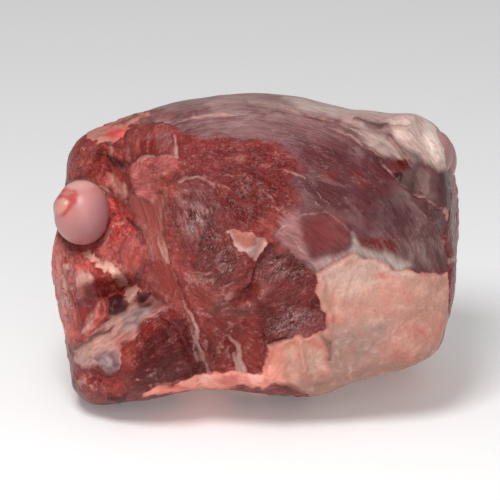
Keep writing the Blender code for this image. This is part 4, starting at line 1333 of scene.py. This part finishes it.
def scaled(tree, colour, value):
    """A colour made lighter or darker."""
    node = tree.nodes.new("ShaderNodeVectorMath")
    node.operation = "SCALE"
    tree.links.new(colour, node.inputs[0])
    tree.links.new(value, node.inputs["Scale"])
    return node.outputs[0]


def new_material(name):
    """An empty material, its node tree and its shader."""
    made = bpy.data.materials.new(name)
    made.use_nodes = True
    return made, made.node_tree, made.node_tree.nodes["Principled BSDF"]


def bump(tree, height, strength, distance):
    """Fine relief in the shading, with the distance in metres."""
    node = tree.nodes.new("ShaderNodeBump")
    node.inputs["Strength"].default_value = strength
    node.inputs["Distance"].default_value = distance
    tree.links.new(height, node.inputs["Height"])
    return node.outputs["Normal"]


def let_light_in(shader, weight, radius, scale):
    """Light that passes under the surface: how much, how far by colour, and its scale in metres."""
    shader.inputs["Subsurface Weight"].default_value = weight
    shader.inputs["Subsurface Radius"].default_value = radius
    shader.inputs["Subsurface Scale"].default_value = scale


def meat_patterns(tree):
    """The patterns that the tissues' colours and relief draw on, by name."""
    fibres = placed_group(tree, fibre_group())
    tree.links.new(layer_socket(tree, "seen", "Vector"), fibres.inputs["Place"])
    tree.links.new(layer_socket(tree, "turns", "Vector"), fibres.inputs["Turns"])
    skin = placed_group(tree, skin_group())
    tree.links.new(layer_socket(tree, "arcs", "Vector"), skin.inputs["Place"])
    blotches = placed_group(tree, blotch_group())
    sockets = (*fibres.outputs, *skin.outputs, *blotches.outputs)
    patterns = {socket.name: socket for socket in sockets}
    patterns["Damp"] = layer_socket(tree, "wet_and_sheen", "Fac")
    # How crinkled the moist lean is: sets its painted sheen, glints and shaded cracks, and its relief
    patterns["Crinkled"] = times(
        tree, patterns["Damp"], ramp(tree, patterns["Large"], 0.36, 0.50, 0.15, 1.0))
    return patterns


def lean_colour(tree, patterns):
    """Bare muscle: fibres, painted sheen where it is moist, cracks between strands with painted shade,
    painted glints and marbling.
    """
    streaks, small, large = (patterns[name] for name in ("Streaks", "Small", "Large"))
    damp_and_sheen, crinkled = patterns["Damp"], patterns["Crinkled"]
    lean_tone = tone(tree, ((streaks, 1.6), (small, 1.0), (large, 1.0), (patterns["Grit"], 0.5)))
    lean = scaled(tree, layer_socket(tree, "lean_tint", "Color"), lean_tone)
    torn = math_node(tree, "MULTIPLY_ADD", centred(tree, small), 0.7, streaks)
    # Painted sheen
    sheen = times(tree, crinkled, ramp(tree, torn, 0.47, 0.54, 0.0, 0.80))
    sheen = times(tree, sheen, ramp(tree, damp_and_sheen, 0.45, 0.85))
    lean = mix_colour(tree, sheen, lean, WET_SHEEN)
    # Cracks between strands: deep red, with painted shade in the grooves
    split = times(tree, patterns["Cracks"], math_node(tree, "MULTIPLY_ADD", crinkled, 0.88, 0.12))
    lean = mix_colour(tree, split, lean, FIBRE_CRACK_SHADE)
    # Painted glints along the strokes
    specks = ramp(tree, small, 0.50, 0.62, 0.0, 0.5)
    glints = times(tree, patterns["Strokes"], math_node(tree, "MAXIMUM", specks, crinkled))
    lean = mix_colour(tree, times(tree, glints, 0.9), lean, WET_GLINT)
    marbled = layer_socket(tree, "marble", "Fac")
    seam_edge = math_node(tree, "MULTIPLY_ADD", marbled, 0.16, streaks)
    lean = mix_colour(tree, ramp(tree, seam_edge, 0.64, 0.74, 0.0, 0.8), lean, LEAN_SEAM)
    shreds = times(tree, marbled, ramp(tree, small, 0.55, 0.64, 0.0, 0.8))
    lean = mix_colour(tree, shreds, lean, FAT_SHRED)
    flecks = times(tree, marbled, ramp(tree, small, 0.36, 0.46, 0.75, 0.0))
    return mix_colour(tree, flecks, lean, DARK_FLECK)


def skin_colour(tree, patterns):
    """Silverskin: fine fibres, milky patches that are painted sheen along the top edge, and pale
    threads.
    """
    hairs, cloud, large = (patterns[name] for name in ("Fibres", "Cloud", "Large"))
    skin_tone = tone(tree, ((hairs, 1.3), (cloud, 0.9), (large, 0.6)))
    skin = scaled(tree, layer_socket(tree, "film_tint", "Color"), skin_tone)
    milk_and_sheen = times(tree, layer_socket(tree, "milk_and_sheen", "Fac"), ramp(tree, cloud, 0.42, 0.62))
    skin = mix_colour(tree, times(tree, milk_and_sheen, 0.55), skin, MILKY_SKIN_AND_SHEEN)
    threads = times(tree, patterns["Threads"], ramp(tree, large, 0.40, 0.62, 0.0, 0.30))
    return mix_colour(tree, threads, skin, PALE_THREAD)


def fat_colour(tree, patterns, edge):
    """Fat: streaks, pale grains, stains of fresh red, and a red rim along its edge."""
    streaks, small = patterns["Streaks"], patterns["Small"]
    cream_tone = tone(tree, ((small, 0.8), (patterns["Large"], 0.5), (patterns["Grit"], 0.6)))
    cream = scaled(tree, layer_socket(tree, "fat_tint", "Color"), cream_tone)
    cream = mix_colour(tree, ramp(tree, streaks, 0.50, 0.68, 0.0, 0.45), cream, FAT_STREAK)
    cream = mix_colour(tree, ramp(tree, small, 0.52, 0.72, 0.0, 0.55), cream, PALE_FAT)
    red = times(tree, layer_socket(tree, "blush", "Fac"), ramp(tree, small, 0.36, 0.6))
    cream = mix_colour(tree, red, cream, FRESH_RED)
    return mix_colour(tree, ramp(tree, edge, 0.2, 1.5, 0.45, 0.0), cream, FAT_RIM)


def meat_relief(tree, patterns, film, fat):
    """Height of fibres, skin and grains of fat, each where its tissue lies."""
    streaks, small, grit = (patterns[name] for name in ("Streaks", "Small", "Grit"))
    crinkle = math_node(tree, "SUBTRACT", patterns["Strokes"], patterns["Cracks"])
    crinkle = times(tree, crinkle, patterns["Crinkled"])
    lean = tone(tree, ((streaks, 1.3), (small, 2.0), (grit, 0.35)))
    lean = math_node(tree, "ADD", lean, times(tree, crinkle, 0.7))
    skin = tone(tree, ((patterns["Fibres"], 0.7), (patterns["Cloud"], 0.5), (small, 0.3)))
    grains = tone(tree, ((small, 0.8), (grit, 0.35), (streaks, -0.5)))
    return mix_value(tree, fat, mix_value(tree, film, lean, skin), grains)


def meat_material(settings):
    """Lean, silverskin, fat and sinew, each where the mesh's layers say."""
    material, tree, shader = new_material("raw lamb")
    patterns = meat_patterns(tree)
    small = patterns["Small"]
    jitter = times(tree, centred(tree, small), 2.6)
    streaky = times(tree, centred(tree, patterns["Streaks"]), 4.0)
    fat_edge = math_node(tree, "ADD", layer_socket(tree, "fat", "Fac"), jitter)
    fat = ramp(tree, fat_edge, -0.4, 0.4)
    film_edge = math_node(tree, "ADD", layer_socket(tree, "film", "Fac"), streaky)
    film = ramp(tree, film_edge, -0.9, 1.1)
    sinew_edge = math_node(tree, "MULTIPLY_ADD", jitter, 0.8, layer_socket(tree, "sinew", "Fac"))
    sinew = ramp(tree, sinew_edge, -0.45, 0.5, 0.0, 0.72)

    colour = mix_colour(tree, film, lean_colour(tree, patterns), skin_colour(tree, patterns))
    colour = mix_colour(tree, fat, colour, fat_colour(tree, patterns, fat_edge))
    sinew_colour = mix_colour(tree, ramp(tree, small, 0.4, 0.65), *SINEW_COLOURS)
    colour = mix_colour(tree, sinew, colour, sinew_colour)
    # Painted shade in the gaps and holes between tissues
    colour = mix_colour(tree, layer_socket(tree, "painted_shade", "Fac"), colour, PAINTED_SHADE_COLOUR)
    tree.links.new(colour, shader.inputs["Base Color"])

    soft = math_node(tree, "MAXIMUM", fat, times(tree, film, 0.6))
    dry = ramp(tree, small, 0.3, 0.7, 0.20, 0.38)
    roughness = math_node(tree, "ADD", dry, times(tree, soft, 0.16))
    tree.links.new(roughness, shader.inputs["Roughness"])
    shader.inputs["Specular IOR Level"].default_value = 0.28
    let_light_in(shader, settings.translucency, (1.0, 0.3, 0.25), 0.002)
    normal = bump(tree, meat_relief(tree, patterns, film, fat), 0.85, 0.0012)
    tree.links.new(normal, shader.inputs["Normal"])
    return material


def gristle_material(settings):
    """Moist joint gristle, pink where blood shows through it, with painted shade low on the ball and a
    painted highlight along its top.
    """
    material, tree, shader = new_material("joint gristle")
    blotches = placed_group(tree, blotch_group())
    small = blotches.outputs["Small"]
    tint = layer_socket(tree, "gristle_tint", "Color")
    pale = ramp(tree, blotches.outputs["Large"], 0.4, 0.7, 0.0, 0.3)
    tree.links.new(mix_colour(tree, pale, tint, PALE_GRISTLE), shader.inputs["Base Color"])
    tree.links.new(ramp(tree, small, 0.3, 0.7, 0.32, 0.42), shader.inputs["Roughness"])
    let_light_in(shader, settings.translucency, (1.0, 0.5, 0.4), 0.004)
    tree.links.new(bump(tree, small, 0.25, 0.0005), shader.inputs["Normal"])
    return material


def ellipsoid(centre, half):
    """A ball stretched along the seen plane's axes, as a mesh in metres."""
    work = bmesh.new()
    bmesh.ops.create_icosphere(work, subdivisions=BALL_DETAIL, radius=1.0)
    for vert in work.verts:
        vert.co = point([centre[i] + half[i] * vert.co[i] for i in range(3)])
    bmesh.ops.recalc_face_normals(work, faces=work.faces)
    return work


def tube(stations):
    """A round bar through (place, radius) stations, closed at both ends, in metres."""
    work = bmesh.new()
    rings = []
    for place, radius in stations:
        ring = []
        for side in range(TUBE_SIDES):
            turn = 2.0 * math.pi * side / TUBE_SIDES
            spot = (place[0], place[1] + radius * math.cos(turn), place[2] + radius * math.sin(turn))
            ring.append(work.verts.new(point(spot)))
        rings.append([work.edges.new((ring[i], ring[i - 1])) for i in range(TUBE_SIDES)])
    for first, second in zip(rings, rings[1:]):
        bmesh.ops.bridge_loops(work, edges=first + second)
    bmesh.ops.holes_fill(work, edges=work.edges, sides=TUBE_SIDES)
    bmesh.ops.recalc_face_normals(work, faces=work.faces)
    return work


def applied_mesh(made):
    """The mesh of an object with its modifiers applied."""
    graph = bpy.context.evaluated_depsgraph_get()
    return bpy.data.meshes.new_from_object(made.evaluated_get(graph))


def bone_mesh():
    """The whole thigh bone in one smooth skin."""
    neck = tube(((HEAD_CENTRE, NECK_RADIUS[0]), (NECK_END, NECK_RADIUS[1])))
    pieces = [linked_object("bone_neck", neck)]
    pieces.append(linked_object("bone_trochanter", ellipsoid(*TROCHANTER)))
    pieces.append(linked_object("bone_shaft", tube(SHAFT)))
    for index, knuckle in enumerate(KNUCKLES):
        pieces.append(linked_object(f"bone_knuckle_{index}", ellipsoid(*knuckle)))
    collection = bpy.data.collections.new("bone_pieces")
    bpy.context.scene.collection.children.link(collection)
    for piece in pieces:
        collection.objects.link(piece)
    groove = linked_object("bone_groove", ellipsoid(*KNEE_GROOVE))
    bone = linked_object("bone_form", ellipsoid(HEAD_CENTRE, HEAD_HALF))
    joined = bone.modifiers.new("join", "BOOLEAN")
    joined.operand_type = "COLLECTION"
    joined.collection = collection
    joined.operation = "UNION"
    joined.solver = "EXACT"
    cut = bone.modifiers.new("groove", "BOOLEAN")
    cut.object = groove
    cut.operation = "DIFFERENCE"
    cut.solver = "EXACT"
    melt = bone.modifiers.new("melt", "REMESH")
    melt.mode = "VOXEL"
    melt.voxel_size = BONE_VOXEL * MM
    soften = bone.modifiers.new("soften", "SMOOTH")
    soften.factor = 0.5
    soften.iterations = 10
    mesh = applied_mesh(bone)
    for made in pieces + [groove, bone]:
        bpy.data.objects.remove(made)
    bpy.data.collections.remove(collection)
    return mesh


def press_pit(work):
    """Presses a shallow pit into the ball, round the raised stump of its ligament."""
    for vert in work.verts:
        along, up, out = from_part_frame(np.array([vert.co[:]]) / MM)
        if along[0] < -60.0 and out[0] > 24.0:
            a, b = picture_place(along, up, out)
            stump = dome(a, b, *STUMP, 3.0)[0]
            pit = dome(a, b, STUMP[0], PIT_HALF, STUMP[2], 4.0)[0] - stump
            vert.co += vert.normal * MM * (STUMP_HEIGHT * stump - PIT_DEPTH * max(pit, 0.0))


def aimed_object(name, data, place, aim):
    """A camera or a light at a place, turned to look along a direction."""
    made = bpy.data.objects.new(name, data)
    bpy.context.scene.collection.objects.link(made)
    made.location = place
    made.rotation_mode = "QUATERNION"
    made.rotation_quaternion = aim.to_track_quat("-Z", "Y")
    return made


def make_floor(settings):
    """A large pale floor that glows a little."""
    work = bmesh.new()
    bmesh.ops.create_grid(work, x_segments=1, y_segments=1, size=FLOOR_SIZE)
    floor = linked_object("floor", work)
    material, tree, shader = new_material("studio floor")
    shader.inputs["Base Color"].default_value = (*settings.floor_colour, 1.0)
    shader.inputs["Roughness"].default_value = 0.8
    shader.inputs["Emission Color"].default_value = WHITE
    shader.inputs["Emission Strength"].default_value = FLOOR_GLOW
    floor.data.materials.append(material)


def make_camera(settings):
    """The camera, whose picture is as wide at the leg as the photograph."""
    target = Vector(point((*PICTURE_CENTRE, 0.0)))
    back = Vector((0.0, -math.cos(settings.elevation), math.sin(settings.elevation)))
    data = bpy.data.cameras.new("camera")
    data.sensor_width = 36.0
    seen_width = PICTURE_WIDTH * PIXEL_MM * MM
    data.lens = data.sensor_width * settings.distance / seen_width
    return aimed_object("camera", data, target + back * settings.distance, -back)


def make_lights(settings):
    """Round area lights over the leg and in front of it."""
    for name, place, size, share in LIGHTS:
        data = bpy.data.lights.new(name, "AREA")
        data.shape = "DISK"
        data.size = size
        data.energy = settings.key * share
        aimed_object(name, data, place, Vector(LIGHT_AIM) - Vector(place))


def make_world(settings):
    """A white ground for the camera, and light from all sides that is weaker from below."""
    world = bpy.data.worlds.new("studio")
    world.use_nodes = True
    tree = world.node_tree
    ambient = tree.nodes["Background"]
    sky = tree.nodes.new("ShaderNodeSeparateXYZ")
    way = tree.nodes.new("ShaderNodeTexCoord")
    tree.links.new(way.outputs["Generated"], sky.inputs[0])
    lift = ramp(tree, sky.outputs["Z"], -0.1, 0.9, settings.ambient * 0.35, settings.ambient)
    tree.links.new(lift, ambient.inputs["Strength"])
    seen = tree.nodes.new("ShaderNodeBackground")
    seen.inputs["Strength"].default_value = 1.0
    for node in (ambient, seen):
        node.inputs["Color"].default_value = WHITE
    path = tree.nodes.new("ShaderNodeLightPath")
    mix = tree.nodes.new("ShaderNodeMixShader")
    tree.links.new(path.outputs["Is Camera Ray"], mix.inputs[0])
    tree.links.new(ambient.outputs[0], mix.inputs[1])
    tree.links.new(seen.outputs[0], mix.inputs[2])
    tree.links.new(mix.outputs[0], tree.nodes["World Output"].inputs["Surface"])
    return world


class LambShape(bpy.types.PropertyGroup):
    """Sizes of the leg's surface."""

    fat_thickness: FloatProperty(
        name="Fat thickness", description="How far the fat cap stands over the lean, in mm",
        default=3.8, min=0.0, max=10.0)
    cleft_scale: FloatProperty(
        name="Cleft depth", description="Depth of the clefts between muscles, 1 as measured",
        default=1.0, min=0.0, max=2.0)
    lump_height: FloatProperty(
        name="Lump height", description="Height of the gentle lumps all over, in mm",
        default=0.9, min=0.0, max=4.0)
    cells_along: IntProperty(
        name="Cells along", description="Mesh cells along the leg before the front is split",
        default=BODY_CELLS[0], min=20, max=160)
    translucency: FloatProperty(
        name="Translucency", description="How much light passes under the surface",
        default=0.12, min=0.0, max=1.0, subtype="FACTOR")
    lean_colour: FloatVectorProperty(
        name="Lean", description="Colour of bare muscle", subtype="COLOR", size=3,
        default=(0.30, 0.056, 0.047), min=0.0, max=1.0)
    film_colour: FloatVectorProperty(
        name="Silverskin", description="Colour of the skin over the muscle", subtype="COLOR",
        size=3, default=(0.17, 0.062, 0.066), min=0.0, max=1.0)
    fat_colour: FloatVectorProperty(
        name="Fat", description="Colour of the fat cap", subtype="COLOR", size=3,
        default=(0.56, 0.32, 0.26), min=0.0, max=1.0)
    gristle_colour: FloatVectorProperty(
        name="Gristle", description="Colour of the joint gristle", subtype="COLOR", size=3,
        default=(0.56, 0.225, 0.205), min=0.0, max=1.0)


class LambStage(bpy.types.PropertyGroup):
    """Camera, floor and light."""

    distance: FloatProperty(
        name="Camera distance", description="From the leg to the camera", unit="LENGTH",
        default=CAMERA_DISTANCE * MM, min=0.3, max=10.0)
    elevation: FloatProperty(
        name="Camera elevation", description="Angle of the view above the horizon",
        subtype="ANGLE", default=SEEN_FROM)
    ambient: FloatProperty(
        name="Ambient", description="Strength of the light from all sides", default=0.38,
        min=0.0, max=5.0)
    key: FloatProperty(
        name="Key light", description="Power of the large light over the leg, in watts",
        default=5.8, min=0.0, max=500.0)
    floor_colour: FloatVectorProperty(
        name="Floor", description="Colour of the floor", subtype="COLOR", size=3,
        default=(0.92, 0.92, 0.92), min=0.0, max=1.0)


class LAMB_OT_meat(bpy.types.Operator):
    """Make the meat with its lean, silverskin, fat and sinew"""

    bl_idname = "lamb.meat"
    bl_label = "Meat"

    def execute(self, context):
        settings = context.scene.lamb_shape
        cells = tuple(round(count * settings.cells_along / BODY_CELLS[0]) for count in BODY_CELLS)
        work = cube_mesh(cells)
        surface = Surface(np.array([vert.co[:] for vert in work.verts]), settings)
        places = surface.places()
        fields = body_fields(surface, places, settings)
        for vert, place in zip(work.verts, places):
            vert.co = place * MM
        work.normal_update()
        normals = np.array([vert.normal[:] for vert in work.verts])
        height = relief_height(fields)
        places = places + normals * height[:, None]
        places[:, 2] = np.maximum(places[:, 2], 0.0)
        for vert, place in zip(work.verts, places):
            vert.co = place * MM
        piece = finish_piece("meat_surface", work, "meat")
        for name in ("fat", "film", "sinew", "painted_shade", *SPREADS):
            add_layer(piece.data, name, "FLOAT", fields[name])
        for name in ("seen", "arcs", "turns"):
            add_layer(piece.data, name, "FLOAT_VECTOR", fields[name])
        for name in ("lean_tint", "film_tint", "fat_tint"):
            add_colour_layer(piece.data, name, fields[name])
        piece.data.materials.append(meat_material(settings))
        return {"FINISHED"}


class LAMB_OT_bone(bpy.types.Operator):
    """Make the thigh bone with the ball joint and the knee's knuckles"""

    bl_idname = "lamb.bone"
    bl_label = "Thigh bone"

    def execute(self, context):
        settings = context.scene.lamb_shape
        work = bmesh.new()
        work.from_mesh(bone_mesh())
        work.normal_update()
        press_pit(work)
        piece = finish_piece("thigh_bone", work, "femur")
        spots = np.empty(len(piece.data.vertices) * 3)
        piece.data.vertices.foreach_get("co", spots)
        along, up, out = from_part_frame(spots.reshape(-1, 3) / MM)
        a, b = picture_place(along, up, out)
        tint = painted(*ragged(a, b, out, *GRISTLE_EDGE), BALL_TINTS, settings.gristle_colour)
        tint = np.where((along > 0.0)[:, None], np.array(KNUCKLE_TINT), tint)
        add_colour_layer(piece.data, "gristle_tint", tint)
        piece.data.materials.append(gristle_material(settings))
        return {"FINISHED"}


class LAMB_OT_stage(bpy.types.Operator):
    """Make the floor, the light and the camera"""

    bl_idname = "lamb.stage"
    bl_label = "Stage"

    def execute(self, context):
        settings = context.scene.lamb_stage
        make_floor(settings)
        context.scene.camera = make_camera(settings)
        make_lights(settings)
        context.scene.world = make_world(settings)
        context.scene.view_settings.view_transform = "Standard"
        return {"FINISHED"}


class LAMB_PT_panel(bpy.types.Panel):
    """Buttons and sizes for the leg of lamb"""

    bl_idname = "LAMB_PT_panel"
    bl_label = "Leg of lamb"
    bl_space_type = "VIEW_3D"
    bl_region_type = "UI"
    bl_category = "Lamb"

    def draw(self, context):
        """Lists the operators and every size and colour."""
        for operator in OPERATORS:
            self.layout.operator(operator.bl_idname)
        for group in (context.scene.lamb_shape, context.scene.lamb_stage):
            for name in group.__annotations__:
                self.layout.prop(group, name)


OPERATORS = (LAMB_OT_meat, LAMB_OT_bone, LAMB_OT_stage)
CLASSES = (LambShape, LambStage, *OPERATORS, LAMB_PT_panel)


def register():
    """Makes the operators, the panel and the settings known."""
    for made in CLASSES:
        bpy.utils.register_class(made)
    bpy.types.Scene.lamb_shape = PointerProperty(type=LambShape)
    bpy.types.Scene.lamb_stage = PointerProperty(type=LambStage)


def unregister():
    """Takes away what register made."""
    del bpy.types.Scene.lamb_shape
    del bpy.types.Scene.lamb_stage
    for made in reversed(CLASSES):
        bpy.utils.unregister_class(made)


def main():
    """Makes every piece and the stage."""
    register()
    bpy.ops.lamb.meat()
    bpy.ops.lamb.bone()
    bpy.ops.lamb.stage()


if __name__ == "__main__":
    main()
